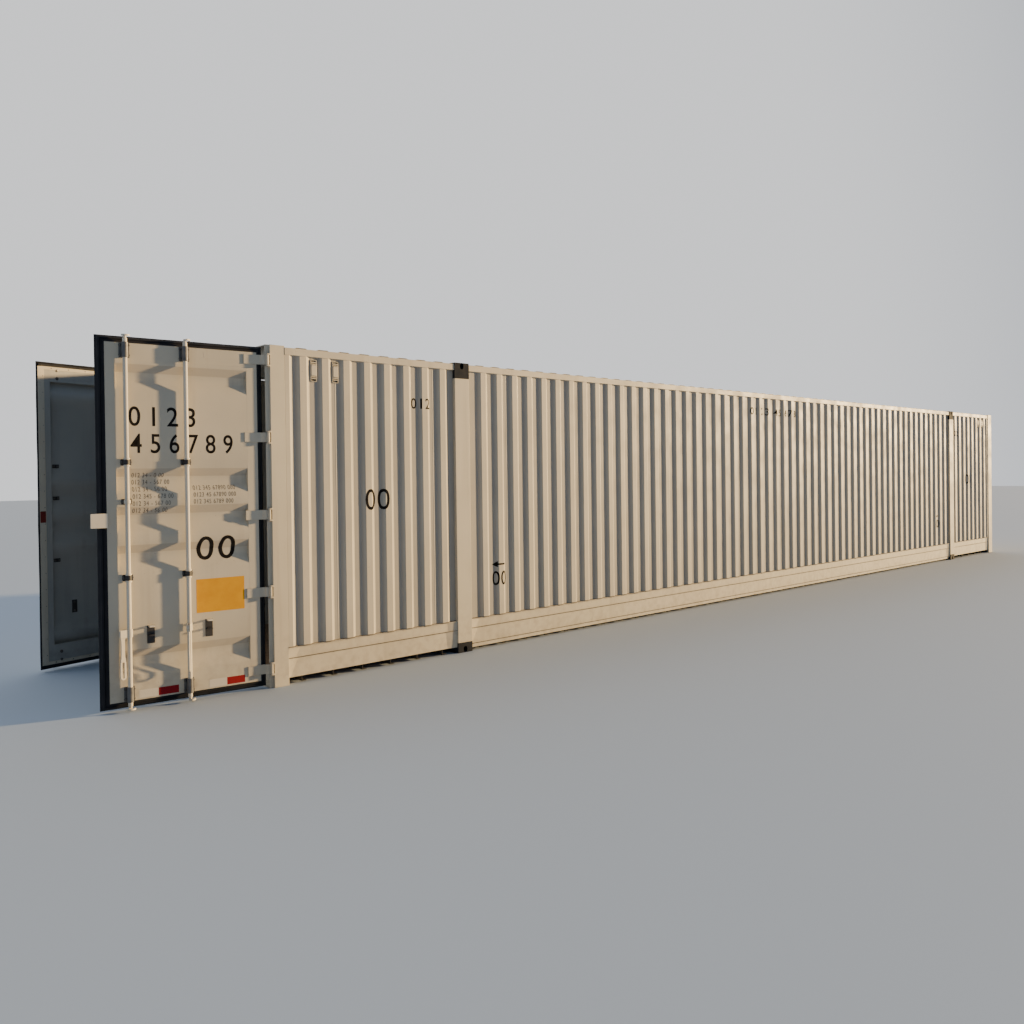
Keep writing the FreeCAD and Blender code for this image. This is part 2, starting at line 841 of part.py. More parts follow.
    def rod(self, name, rod_place, turned):
        """A lock rod with a cam at each end and the hub that carries its handle."""
        x, y = self.rod_centre(rod_place)
        out = door_gap + rod_place
        bar = post(x, y, rod_low + rod_end_length, rod_high - rod_end_length, rod_radius)
        core = post(x, y, rod_low, rod_high, rod_end_radius)
        cams = [self.claw(rod_place, rod_low, rod_low + cam_height),
                self.claw(rod_place, rod_high - cam_height, rod_high)]
        hub = post(x, y, handle_height - hub_height / 2, handle_height + hub_height / 2,
                   rod_radius + collar_wall)
        inner = handle_thick / 2 + hub_side_clear
        reach_out = handle_pivot + handle_width / 2
        cheeks = []
        for way in (-1, 1):
            depth = [rod_in + way * inner, rod_in + way * (inner + hub_cheek)]
            cheeks.append(self.block(depth, [out, out + reach_out],
                                     [handle_height - hub_height / 2, handle_height + hub_height / 2]))
        reach = inner + hub_cheek
        start = Vector(x - reach, y + self.side * handle_pivot, handle_height)
        pin = Part.makeCylinder(handle_pin_radius, 2 * reach, start, Vector(1, 0, 0))
        solid = fuse(core, bar, hub, pin, *(cams + cheeks))
        save("%s_%s" % (self.word, name), self.turn_rod(rod_place, turned, solid))

    def handle(self, name, rod_place, turned):
        """A flat bar that hangs from the hub's pin."""
        x, y = self.rod_centre(rod_place)
        out = door_gap + rod_place + handle_pivot
        half = handle_width / 2
        depth = [rod_in - handle_thick / 2, rod_in + handle_thick / 2]
        bar = self.block(depth, [out - half, out + half], [handle_height - handle_length, handle_height])
        start = Vector(x - handle_thick / 2, y + self.side * handle_pivot, handle_height)
        eye = Part.makeCylinder(half, handle_thick, start, Vector(1, 0, 0))
        hole = Part.makeCylinder(handle_pin_radius + handle_pin_clear, handle_thick, start, Vector(1, 0, 0))
        solid = fuse(bar, eye).cut(hole)
        save("%s_%s" % (self.word, name), self.turn_rod(rod_place, turned, solid))

    def build(self):
        self.frame()
        self.panel()
        self.seal()
        self.hinges()
        self.guides()
        self.catches()
        for number, rod_place in enumerate(rod_places):
            name = ("inner", "outer")[number]
            self.rod("%s_lock_rod" % name, rod_place, rod_turns[number])
            self.handle("%s_handle" % name, rod_place, rod_turns[number])

os.makedirs("parts", exist_ok=True)
side_walls()
roof()
front_wall()
castings()
lifting_frames()
rails()
floor()
crossmembers()
front_frame()
ventilators()
door_frame()
keepers()
save("door_hinge_lugs", *(hinge_lugs(-1) + hinge_lugs(1)))
right_door = Door(-1, "right", right_door_open)
left_door = Door(1, "left", left_door_open)
right_door.build()
right_door.cover()
left_door.build()
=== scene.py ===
import json
import math

import bmesh
import bpy
import numpy as np
from mathutils import Matrix, Vector


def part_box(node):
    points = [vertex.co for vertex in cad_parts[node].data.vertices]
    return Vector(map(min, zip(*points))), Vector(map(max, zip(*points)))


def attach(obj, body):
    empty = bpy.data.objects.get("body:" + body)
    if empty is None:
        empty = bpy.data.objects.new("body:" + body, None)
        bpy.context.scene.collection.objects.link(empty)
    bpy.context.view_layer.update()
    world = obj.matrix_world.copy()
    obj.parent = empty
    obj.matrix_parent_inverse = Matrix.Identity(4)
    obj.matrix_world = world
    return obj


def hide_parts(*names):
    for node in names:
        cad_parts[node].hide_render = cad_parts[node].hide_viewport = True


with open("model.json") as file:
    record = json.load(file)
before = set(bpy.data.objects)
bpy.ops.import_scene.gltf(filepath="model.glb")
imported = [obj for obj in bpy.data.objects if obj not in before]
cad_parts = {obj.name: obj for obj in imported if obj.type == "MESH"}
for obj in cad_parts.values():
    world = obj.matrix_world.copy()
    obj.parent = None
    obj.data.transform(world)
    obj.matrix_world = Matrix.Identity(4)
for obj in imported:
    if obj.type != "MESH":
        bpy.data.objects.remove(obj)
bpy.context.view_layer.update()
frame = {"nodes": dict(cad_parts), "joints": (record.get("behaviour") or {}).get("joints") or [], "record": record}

nodes = frame["nodes"]
joints = {joint["name"]: joint for joint in frame["joints"]}
halfLength = -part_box("door_corner_posts")[0].x  # the door posts' outer face; depths are counted in from it
wallFace = -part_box("right_wall")[0].y  # outermost face of the folded walls
print("frame loaded:", len(nodes), "nodes")


# Camera: three angles in degrees turn it from looking along +Y, then it is shifted slightly.
cameraSetup = {"place": (-11.401, -8.258, 1.779), "yaw": 43.97, "pitch": -0.48, "roll": -0.73,
               "lens": 30.74, "shift": (-0.045, -0.0304)}


# The view's axes come from yaw and pitch, then roll mixes the level axis with the upward one.
def makeCamera():
    yaw, pitch, roll = (math.radians(cameraSetup[key]) for key in ("yaw", "pitch", "roll"))
    ahead = np.array([math.sin(yaw) * math.cos(pitch), math.cos(yaw) * math.cos(pitch), math.sin(pitch)])
    level = np.array([math.cos(yaw), -math.sin(yaw), 0.0])
    upward = np.cross(level, ahead)
    right = math.cos(roll) * level + math.sin(roll) * upward
    top = -math.sin(roll) * level + math.cos(roll) * upward
    data = bpy.data.cameras.new("camera")
    data.sensor_width = 36.0
    data.lens = cameraSetup["lens"]
    data.shift_x, data.shift_y = cameraSetup["shift"]
    data.clip_end = 400.0
    camera = bpy.data.objects.new("camera", data)
    bpy.context.scene.collection.objects.link(camera)
    turn = Matrix((right, top, -ahead)).transposed()
    camera.matrix_world = Matrix.Translation(cameraSetup["place"]) @ turn.to_4x4()
    bpy.context.scene.camera = camera


# Light: a low warm key from beyond the closed end, a bright backdrop behind the left side (+Y) and a dim sky
# on the right side (-Y), so that shaded folds stay clear of the lit ones.
lightSetup = {"backdrop": (0.97, 0.98, 1.0), "dimSky": (0.150, 0.215, 0.310), "fade": (-0.10, 0.5),
              "key": {"bearing": 69.5, "height": 7.5, "energy": 8.6, "colour": (1.0, 0.69, 0.33),
                      "spread": 2.5},
              "fill": {"bearing": -100.0, "height": 35.0, "energy": 0.15, "colour": (0.8, 0.9, 1.0),
                       "spread": 60.0},
              "floorSize": 160.0, "floorColour": (0.46, 0.54, 0.64)}


# bearing is turned from -Y towards +X, height is above the horizon, both in degrees.
def makeLamp(name, setup):
    bearing, height = math.radians(setup["bearing"]), math.radians(setup["height"])
    level = math.cos(height)
    towards = Vector((math.sin(bearing) * level, -math.cos(bearing) * level, math.sin(height)))
    data = bpy.data.lights.new(name, "SUN")
    data.energy = setup["energy"]
    data.color = setup["colour"]
    data.angle = math.radians(setup["spread"])
    lamp = bpy.data.objects.new(name, data)
    lamp.rotation_euler = towards.to_track_quat("Z", "Y").to_euler()
    bpy.context.scene.collection.objects.link(lamp)


# The sky's colour goes from dim to bright as the direction's Y goes over the fade.
def makeStudio():
    world = bpy.data.worlds.new("studio")
    bpy.context.scene.world = world
    world.use_nodes = True
    tree = world.node_tree
    direction = tree.nodes.new("ShaderNodeTexCoord").outputs["Generated"]
    parts = tree.nodes.new("ShaderNodeSeparateXYZ")
    fade = tree.nodes.new("ShaderNodeMapRange")
    fade.interpolation_type = "SMOOTHSTEP"
    fade.inputs["From Min"].default_value, fade.inputs["From Max"].default_value = lightSetup["fade"]
    sky = tree.nodes.new("ShaderNodeMix")
    sky.data_type = "RGBA"
    sky.inputs[6].default_value = (*lightSetup["dimSky"], 1)
    sky.inputs[7].default_value = (*lightSetup["backdrop"], 1)
    for source, target in ((direction, parts.inputs[0]), (parts.outputs["Y"], fade.inputs["Value"]),
                           (fade.outputs["Result"], sky.inputs["Factor"]),
                           (sky.outputs[2], tree.nodes["Background"].inputs["Color"])):
        tree.links.new(source, target)
    makeLamp("keyLamp", lightSetup["key"])
    makeLamp("fillLamp", lightSetup["fill"])
    bpy.ops.mesh.primitive_plane_add(size=lightSetup["floorSize"])
    floor = bpy.context.object
    floor.name = "studioFloor"
    finish = bpy.data.materials.new("studioFloor")
    finish.use_nodes = True
    shader = finish.node_tree.nodes["Principled BSDF"]
    shader.inputs["Base Color"].default_value = (*lightSetup["floorColour"], 1)
    shader.inputs["Roughness"].default_value = 0.9
    floor.data.materials.append(finish)


makeCamera()
makeStudio()
print("camera and studio placed")


# Finishes. Every pattern reads Object coordinates, in metres.
# A material with a few short ways to add and join nodes.
class Finish:
    def __init__(self, name, roughness, metallic=0.0, specular=0.5):
        self.material = bpy.data.materials.new(name)
        self.material.use_nodes = True
        self.tree = self.material.node_tree
        self.shader = self.tree.nodes["Principled BSDF"]
        self.shader.inputs["Roughness"].default_value = roughness
        self.shader.inputs["Metallic"].default_value = metallic
        self.shader.inputs["Specular IOR Level"].default_value = specular
        self.place = self.tree.nodes.new("ShaderNodeTexCoord").outputs["Object"]

    # Links one socket to another.
    def join(self, source, target):
        self.tree.links.new(source, target)

    # Cloudy noise whose features are about 1 / scale metres, longer where stretch is small.
    def noise(self, scale, detail=4.0, stretch=(1, 1, 1)):
        mapping = self.tree.nodes.new("ShaderNodeMapping")
        mapping.inputs["Scale"].default_value = stretch
        self.join(self.place, mapping.inputs["Vector"])
        node = self.tree.nodes.new("ShaderNodeTexNoise")
        node.inputs["Scale"].default_value = scale
        node.inputs["Detail"].default_value = detail
        self.join(mapping.outputs["Vector"], node.inputs["Vector"])
        return node.outputs["Fac"]

    # A number moved from the range low..high to outLow..outHigh, and kept inside it.
    def ranged(self, source, low, high, outLow=0.0, outHigh=1.0):
        node = self.tree.nodes.new("ShaderNodeMapRange")
        for key, value in (("From Min", low), ("From Max", high), ("To Min", outLow), ("To Max", outHigh)):
            node.inputs[key].default_value = value
        self.join(source, node.inputs["Value"])
        return node.outputs["Result"]

    # One sum of two numbers or sockets.
    def sum(self, kind, first, second):
        node = self.tree.nodes.new("ShaderNodeMath")
        node.operation = kind
        for value, socket in ((first, node.inputs[0]), (second, node.inputs[1])):
            if isinstance(value, float):
                socket.default_value = value
            else:
                self.join(value, socket)
        return node.outputs["Value"]

    # Colour that goes from first to second as factor goes from 0 to 1.
    def blend(self, factor, first, second):
        node = self.tree.nodes.new("ShaderNodeMix")
        node.data_type = "RGBA"
        self.join(factor, node.inputs["Factor"])
        for value, index in ((first, 6), (second, 7)):
            if isinstance(value, tuple):
                node.inputs[index].default_value = (*value, 1)
            else:
                self.join(value, node.inputs[index])
        return node.outputs[2]

    # One of the three Object coordinates.
    def axis(self, name):
        node = self.tree.nodes.new("ShaderNodeSeparateXYZ")
        self.join(self.place, node.inputs[0])
        return node.outputs[name]

    # The surface's colour comes from the source.
    def colour(self, source):
        self.join(source, self.shader.inputs["Base Color"])

    # The surface's roughness comes from the source.
    def rough(self, source):
        self.join(source, self.shader.inputs["Roughness"])

    # The source is read as a height, and depth is its reach in metres.
    def bump(self, source, depth):
        node = self.tree.nodes.new("ShaderNodeBump")
        node.inputs["Distance"].default_value = depth
        node.inputs["Strength"].default_value = 1.0
        self.join(source, node.inputs["Height"])
        self.join(node.outputs["Normal"], self.shader.inputs["Normal"])


# Paint on steel: clean coat, cloudy fading, dust that runs down in streaks, and dirt near the ground.
paintSetup = {"bodyPaint": {"clean": (0.60, 0.54, 0.425), "faded": (0.535, 0.48, 0.375),
                            "dirt": (0.28, 0.225, 0.165)},
              # a slightly darker copy of the body paint, as painted shade for the walls' folds; its valleys get
              # more painted shade in the dirt colour
              "wallPaint": {"clean": (0.565, 0.51, 0.405), "faded": (0.505, 0.455, 0.36),
                            "dirt": (0.285, 0.27, 0.25), "recess": (0.021, 0.007), "recessGrime": 0.68},
              # a darker copy of the body paint: painted shade on the door panel's slopes that look down
              "slopePaint": {"clean": (0.49, 0.43, 0.335), "faded": (0.44, 0.385, 0.30),
                             "dirt": (0.24, 0.20, 0.15)},
              # a darker copy of the body paint: painted shade on the leaves' inner faces
              "innerPaint": {"clean": (0.37, 0.36, 0.33), "faded": (0.32, 0.32, 0.30),
                             "dirt": (0.16, 0.14, 0.12)},
              "rodPaint": {"clean": (0.74, 0.68, 0.56), "faded": (0.66, 0.60, 0.49),
                           "dirt": (0.33, 0.27, 0.20)}}


# The largest of streaks, splash near the ground and chips turns the coat's colour to dirt; on the walls, painted
# shade in the valleys uses the same dirt colour.
# recess holds two depths behind the wall's outer face; the painted valley shade fades from the deeper to the
# shallower one.
def paintFinish(name, setup):
    finish = Finish(name, 0.5)
    fading = finish.ranged(finish.noise(1.7, 5.0), 0.35, 0.7)
    coat = finish.blend(fading, setup["clean"], setup["faded"])
    streaks = finish.ranged(finish.noise(9.0, 6.0, (1, 1, 0.06)), 0.56, 0.8, 0.0, 0.35)
    height = finish.axis("Z")
    low = finish.ranged(height, 0.0, 0.55, 1.0, 0.0)
    splash = finish.ranged(finish.noise(14.0, 6.0), 0.42, 0.75, 0.0, 0.55)
    grimeAndShade = finish.sum("MULTIPLY", low, splash)
    chips = finish.ranged(finish.noise(60.0, 3.0), 0.735, 0.75, 0.0, 0.7)
    dirt = finish.sum("MAXIMUM", finish.sum("MAXIMUM", streaks, grimeAndShade), chips)
    # On the walls the valleys get painted shade, in the dirt colour, broken up by cloudy patches.
    if "recess" in setup:
        depths = [wallFace - behind for behind in setup["recess"]]
        across = finish.sum("ABSOLUTE", finish.axis("Y"), 0.0)
        grimeAndShade = finish.ranged(across, *depths, setup["recessGrime"], 0.0)
        patches = finish.ranged(finish.noise(3.0, 4.0), 0.3, 0.7, 0.8, 1.0)
        dirt = finish.sum("MAXIMUM", dirt, finish.sum("MULTIPLY", grimeAndShade, patches))
    finish.colour(finish.blend(dirt, coat, setup["dirt"]))
    finish.rough(finish.ranged(finish.noise(5.0, 4.0), 0.3, 0.7, 0.42, 0.62))
    grain = finish.sum("MULTIPLY", finish.noise(380.0, 2.0), 0.06)
    finish.bump(finish.sum("ADD", finish.noise(2.6, 2.0), grain), 0.0016)
    return finish.material


# Two close colours in cloudy patches over a finely grained surface.
def plainFinish(name, colour, second, roughness, scale, depth, metallic=0.0, specular=0.5):
    finish = Finish(name, roughness, metallic, specular)
    patches = finish.ranged(finish.noise(scale, 5.0), 0.35, 0.7)
    finish.colour(finish.blend(patches, colour, second))
    finish.rough(finish.ranged(finish.noise(scale * 2.0, 4.0), 0.3, 0.7, roughness - 0.08, roughness + 0.1))
    finish.bump(finish.noise(scale * 14.0, 3.0), depth)
    return finish.material


# Floor boards run lengthwise; a dark joint shows at each board's edge.
boardSetup = {"width": 0.14, "joint": 0.03, "wood": (0.30, 0.17, 0.085), "pale": (0.42, 0.26, 0.14),
              "gap": (0.03, 0.02, 0.012)}


# A joint is where the fraction of Y over a board's width is under the joint's share.
def boardFinish():
    finish = Finish("floorBoards", 0.55)
    across = finish.axis("Y")
    count = finish.sum("DIVIDE", across, boardSetup["width"])
    within = finish.sum("FRACT", count, 0.0)
    edge = finish.sum("LESS_THAN", within, boardSetup["joint"])
    grain = finish.ranged(finish.noise(26.0, 8.0, (0.06, 1, 1)), 0.35, 0.7)
    tone = finish.ranged(finish.noise(2.0, 2.0, (0.3, 3.6, 1)), 0.3, 0.7)
    wood = finish.blend(grain, boardSetup["wood"], boardSetup["pale"])
    shaded = finish.blend(finish.ranged(tone, 0.0, 1.0, 0.0, 0.35), wood, boardSetup["wood"])
    finish.colour(finish.blend(edge, shaded, boardSetup["gap"]))
    finish.bump(finish.sum("SUBTRACT", grain, finish.sum("MULTIPLY", edge, 3.0)), 0.0006)
    return finish.material


# Reflecting tape has small six-sided cells under a clear coat.
def tapeFinish(name, colour, second):
    finish = Finish(name, 0.7, specular=0.2)
    cells = finish.tree.nodes.new("ShaderNodeTexVoronoi")
    cells.inputs["Scale"].default_value = 220.0
    finish.join(finish.place, cells.inputs["Vector"])
    shade = finish.ranged(cells.outputs["Distance"], 0.1, 0.6)
    finish.colour(finish.blend(shade, colour, second))
    finish.bump(cells.outputs["Distance"], 0.0002)
    return finish.material


# Plain ones: two colours, roughness, how fine the patches are, bump depth, then metallic and specular.
plainSetup = {"castSteel": ((0.010, 0.013, 0.020), (0.020, 0.024, 0.033), 0.75, 9.0, 0.0004, 0.0, 0.15),
              # dark grey for the rod guides' bases at top and bottom
              "guideSteel": ((0.11, 0.11, 0.115), (0.17, 0.165, 0.16), 0.5, 20.0, 0.0003, 0.3),
              "galvanised": ((0.42, 0.42, 0.42), (0.55, 0.55, 0.54), 0.42, 30.0, 0.0001, 0.8),
              "sealRubber": ((0.010, 0.011, 0.015), (0.020, 0.020, 0.024), 0.7, 12.0, 0.0003, 0.0, 0.25),
              "darkBush": ((0.020, 0.018, 0.020), (0.035, 0.032, 0.033), 0.5, 20.0, 0.0002),
              "underCoat": ((0.025, 0.024, 0.023), (0.050, 0.046, 0.042), 0.75, 16.0, 0.0008),
              "boltSteel": ((0.09, 0.085, 0.08), (0.16, 0.15, 0.14), 0.4, 60.0, 0.0001, 0.6),
              # dark beads at the walls' joints: dirt and painted shade
              "jointDirt": ((0.13, 0.105, 0.075), (0.22, 0.18, 0.13), 0.85, 40.0, 0.0006),
              "stencilInk": ((0.010, 0.008, 0.008), (0.020, 0.018, 0.017), 0.85, 30.0, 0.00005, 0.0, 0.05),
              "faintInk": ((0.10, 0.09, 0.08), (0.20, 0.18, 0.15), 0.85, 60.0, 0.00005, 0.0, 0.1),
              "amberPlate": ((0.74, 0.36, 0.012), (0.66, 0.30, 0.010), 0.65, 10.0, 0.00005, 0.0, 0.15),
              "dullRed": ((0.16, 0.015, 0.012), (0.22, 0.02, 0.015), 0.5, 12.0, 0.0002)}
tapeSetup = {"redTape": ((0.36, 0.008, 0.016), (0.26, 0.006, 0.012)),
             "whiteTape": ((0.72, 0.67, 0.58), (0.64, 0.59, 0.50))}
finishes = {name: paintFinish(name, setup) for name, setup in paintSetup.items()}
finishes |= {name: plainFinish(name, *setup) for name, setup in plainSetup.items()}
finishes |= {name: tapeFinish(name, *setup) for name, setup in tapeSetup.items()}
finishes["floorBoards"] = boardFinish()
print("finishes made:", len(finishes))


# Shapes are pairs: points as rows of three numbers, and a list of arrays of faces, one array per face size.
# Four-sided faces between neighbouring points of a grid stored row by row.
def gridFaces(rows, columns, closedRows=False, closedColumns=False):
    r = np.arange(rows if closedRows else rows - 1)[:, None]
    c = np.arange(columns if closedColumns else columns - 1)[None, :]
    after, beside = (r + 1) % rows, (c + 1) % columns
    corners = [r * columns + c, r * columns + beside, after * columns + beside, after * columns + c]
    return np.stack(corners, -1).reshape(-1, 4)


# At each point of a flat line, the vector that moves both of its runs sideways by one.
def mitred(line, closed):
    line = np.asarray(line, float)
    runs = np.roll(line, -1, 0) - line
    if not closed:
        runs[-1] = runs[-2]
    runs /= np.linalg.norm(runs, axis=1)[:, None]
    before = np.roll(runs, 1, 0)
    if not closed:
        before[0] = runs[0]
    side = np.stack([-runs[:, 1], runs[:, 0]], 1)
    sideBefore = np.stack([-before[:, 1], before[:, 0]], 1)
    both = side + sideBefore
    return both / np.maximum((both * side).sum(1), 0.2)[:, None]


# A closed profile of (sideways, upward) points carried along a flat line with mitred corners.
# Point (i, j) is line[i] + mitre[i] * sideways[j], at the height upward[j].
def carried(profile, line, closed):
    line, profile = np.asarray(line, float), np.asarray(profile, float)
    flat = line[:, None, :] + mitred(line, closed)[:, None, :] * profile[None, :, :1]
    upward = np.broadcast_to(profile[None, :, 1:], flat[:, :, :1].shape)
    points = np.concatenate([flat, upward], -1).reshape(-1, 3)
    rows, columns = len(line), len(profile)
    faces = [gridFaces(rows, columns, closed, True)]
    if not closed:
        ends = np.arange(columns)
        faces.append(np.stack([ends[::-1], ends + (rows - 1) * columns]))
    return points, faces


# A flat plate from an outline, its rims cut back by edge: four rings joined, and two lids.
def plateOf(outline, thick, edge):
    outline = np.asarray(outline, float)
    inward = mitred(outline, True) * edge
    rings = [(outline + inward, 0.0), (outline, edge), (outline, thick - edge), (outline + inward, thick)]
    points = np.concatenate([np.column_stack([ring, np.full(len(ring), level)]) for ring, level in rings])
    count = np.arange(len(outline))
    lids = np.stack([count[::-1], count + 3 * len(outline)])
    return points, [gridFaces(4, len(outline), False, True), lids]


# A profile of (radius, height) pairs spun about the third axis, closed by a lid at each end.
def turned(profile, sides):
    profile = np.asarray(profile, float)
    angle = np.arange(sides) * 2 * math.pi / sides
    around = np.stack([np.cos(angle), np.sin(angle)], 1)
    flat = profile[:, None, :1] * around[None]
    upward = np.broadcast_to(profile[:, None, 1:], flat[:, :, :1].shape)
    points = np.concatenate([flat, upward], -1).reshape(-1, 3)
    count = np.arange(sides)
    lids = np.stack([count[::-1], count + (len(profile) - 1) * sides])
    return points, [gridFaces(len(profile), sides, False, True), lids]


# Outline of a rectangle centred on 0, 0 with arcs of steps parts at its corners, anticlockwise.
def roundedBox(width, height, radius, steps=3):
    angle = np.linspace(0, math.pi / 2, steps + 1)
    arc = np.stack([np.cos(angle), np.sin(angle)], 1) * radius
    corners = []
    for turn, (sx, sy) in enumerate(((1, 1), (-1, 1), (-1, -1), (1, -1))):
        c, s = round(math.cos(turn * math.pi / 2)), round(math.sin(turn * math.pi / 2))
        turnedArc = arc @ np.array([[c, s], [-s, c]])
        corners.append(turnedArc + (sx * (width / 2 - radius), sy * (height / 2 - radius)))
    return np.concatenate(corners)


# A six-sided head with a cut rim, on a round washer, standing on the plane of its first two axes.
def boltShape(radius, rise):
    head = turned([(radius * 0.98, 0.0), (radius, rise * 0.2), (radius, rise * 0.8), (radius * 0.8, rise)], 6)
    ring = turned([(radius * 1.45, 0.0), (radius * 1.45, rise * 0.18), (radius * 1.3, rise * 0.26)], 12)
    return merged([head, ring])


# Several shapes as one: each shape's faces are counted on from the points before it.
def merged(shapes):
    points = np.concatenate([shape[0] for shape in shapes])
    starts = np.cumsum([0] + [len(shape[0]) for shape in shapes[:-1]])
    sizes = sorted({faces.shape[1] for shape in shapes for faces in shape[1]})
    joined = []
    for size in sizes:
        joined.append(np.concatenate([faces + start for shape, start in zip(shapes, starts)
                                      for faces in shape[1] if faces.shape[1] == size]))
    return points, joined


# Copies of a shape moved to each of the places, as one shape.
def repeated(shape, places):
    points, faceSets = shape
    places = np.asarray(places, float).reshape(-1, 3)
    everyPoint = (points[None] + places[:, None]).reshape(-1, 3)
    shift = (np.arange(len(places)) * len(points))[:, None, None]
    return everyPoint, [(faces[None] + shift).reshape(-1, faces.shape[1]) for faces in faceSets]


# Every point plus the offset.
def moved(shape, offset):
    return shape[0] + np.asarray(offset, float), shape[1]


# Every point put through the rule.
def mapped(shape, rule):
    return rule(shape[0]), shape[1]


# Puts a closed shape into a mesh, turns its faces outwards and hangs it on its body.
def makePiece(name, shape, finish, body, smoothAngle=None):
    points, faceSets = shape
    mesh = bpy.data.meshes.new(name)
    corners = np.concatenate([faces.ravel() for faces in faceSets])
    counts = np.concatenate([np.full(len(faces), faces.shape[1]) for faces in faceSets])
    mesh.vertices.add(len(points))
    mesh.vertices.foreach_set("co", np.ascontiguousarray(points, np.float32).ravel())
    mesh.loops.add(len(corners))
    mesh.loops.foreach_set("vertex_index", corners.astype(np.int32))
    mesh.polygons.add(len(counts))
    mesh.polygons.foreach_set("loop_start", (np.cumsum(counts) - counts).astype(np.int32))
    mesh.polygons.foreach_set("loop_total", counts.astype(np.int32))
    mesh.update(calc_edges=True)
    work = bmesh.new()
    work.from_mesh(mesh)
    bmesh.ops.recalc_face_normals(work, faces=work.faces)
    softenEdges(work, smoothAngle)
    work.to_mesh(mesh)
    work.free()
    mesh.materials.append(finishes[finish])
    return hang(bpy.data.objects.new(name, mesh), body)


# Smooth shading over edges flatter than the angle, sharp over the others.
def softenEdges(work, smoothAngle):
    limit = math.radians(smoothAngle or 0.0)
    for face in work.faces:
        face.smooth = smoothAngle is not None
    for edge in work.edges:
        edge.smooth = len(edge.link_faces) == 2 and edge.calc_face_angle(0.0) < limit


# Links a piece into the scene, on its body.
def hang(piece, body):
    bpy.context.scene.collection.objects.link(piece)
    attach(piece, body)
    return piece


# A node's own points, in metres.
def pointsOf(node):
    mesh = nodes[node].data
    points = np.empty(len(mesh.vertices) * 3, np.float32)
    mesh.vertices.foreach_get("co", points)
    return points.reshape(-1, 3).astype(float)


# The doors and rods are worked out closed and locked, then turned by their joints' rest angles.
# In that state a point is (in, out, up): in from the end plane, out from the centre plane, and height.
# One door, its side of the container (-1 right, 1 left) and where its joints stand at rest.
class Leaf:
    def __init__(self, word, side):
        hinge = joints[word + "_door_hinge"]
        self.word = word
        self.side = side
        self.body = word + "_door"
        self.pin = complex(*hinge["pos_m"][:2])
        self.swing = np.exp(-1j * side * math.radians(-hinge["range_deg"][0]))
        self.rods = {}
        for rod in ("inner", "outer"):
            joint = joints["%s_%s_rod_turn" % (word, rod)]
            centre = self.pin + (complex(*joint["pos_m"][:2]) - self.pin) / self.swing
            turn = np.exp(1j * side * math.radians(-joint["range_deg"][0]))
            self.rods[rod] = {"centre": centre, "turn": turn, "body": "%s_%s_lock_rod" % (word, rod),
                              "in": centre.real + halfLength, "out": side * centre.imag,
                              "handle": "%s_%s_handle" % (word, rod)}

    # A closed leaf's points seen from above, as complex numbers x + iy.
    def flat(self, points):
        return (points[:, 0] - halfLength) + 1j * self.side * points[:, 1]

    # Points turned about the hinge pin: pin + (point - pin) * swing.
    def place(self, points):
        spot = self.pin + (self.flat(points) - self.pin) * self.swing
        return np.column_stack([spot.real, spot.imag, points[:, 2]])

    # The same after a turn about the rod's own centre.
    def placeOnRod(self, rod):
        def rule(points):
            about = self.rods[rod]
            spot = about["centre"] + (self.flat(points) - about["centre"]) * about["turn"]
            spot = self.pin + (spot - self.pin) * self.swing
            return np.column_stack([spot.real, spot.imag, points[:, 2]])
        return rule

    # A node's own points, taken back to (in, out, up) with the door closed.
    def closed(self, node):
        points = pointsOf(node)
        spot = self.pin + (points[:, 0] + 1j * points[:, 1] - self.pin) / self.swing
        return np.column_stack([spot.real + halfLength, self.side * spot.imag, points[:, 2]])

    # A node's lowest and highest (in, out, up) with the door closed.
    def span(self, node):
        points = self.closed(node)
        return points.min(0), points.max(0)


leaves = [Leaf("right", -1), Leaf("left", 1)]


# One face's line of a folded sheet: for each place along it, the outermost level, in order.
def foldLine(along, level, outermost):
    key, group = np.unique(np.round(along, 4), return_inverse=True)
    result = np.full(len(key), -np.inf)
    np.maximum.at(result, group, outermost * level)
    return key, outermost * result


# Softened CAD pieces: a copy of a node, its triangles merged into flat faces, with rounded rims.
softSetup = {"top_castings": ("castSteel", 0.005), "bottom_castings": ("castSteel", 0.005),
             "door_corner_posts": ("bodyPaint", 0.004), "front_corner_posts": ("bodyPaint", 0.006),
             "lifting_frame_posts": ("bodyPaint", 0.008), "door_hinge_lugs": ("bodyPaint", 0.0015),
             "right_door_hinges": ("bodyPaint", 0.0015), "left_door_hinges": ("bodyPaint", 0.0015),
             "right_rod_guides": ("rodPaint", 0.0012), "left_rod_guides": ("rodPaint", 0.0012),
             "right_handle_catches": ("rodPaint", 0.0015), "left_handle_catches": ("rodPaint", 0.0015),
             "right_door_frame": ("bodyPaint", 0.001), "left_door_frame": ("bodyPaint", 0.001),
             "right_door_panel": ("bodyPaint", 0.0), "left_door_panel": ("bodyPaint", 0.0),
             "right_door_cover_plate": ("rodPaint", 0.002), "cam_keepers": ("bodyPaint", 0.0015),
             "right_inner_lock_rod": ("rodPaint", 0.001), "right_outer_lock_rod": ("rodPaint", 0.001),
             "left_inner_lock_rod": ("rodPaint", 0.001), "left_outer_lock_rod": ("rodPaint", 0.001)}
slotOf = {entry["node"]: entry["material_slot"] for entry in frame["record"]["subparts"]}
bodyOf = {node: body for body, names in frame["record"]["behaviour"]["bodies"].items() for node in names}
mergeSetup = {"distance": 0.00002, "flatAngle": 0.5, "bevelAngle": 40.0, "smoothAngle": 32.0, "facing": 0.2}


# Height bands, (low, high) in metres, where a softened piece wears another finish.
bandSetup = {"rod_guides": [(0.0, 0.25, "guideSteel"), (0.9, 1.2, "darkBush"), (1.8, 2.0, "darkBush"),
                            (2.6, 2.9, "guideSteel")],
             "handle_catches": [(0.0, 0.6, "darkBush")]}
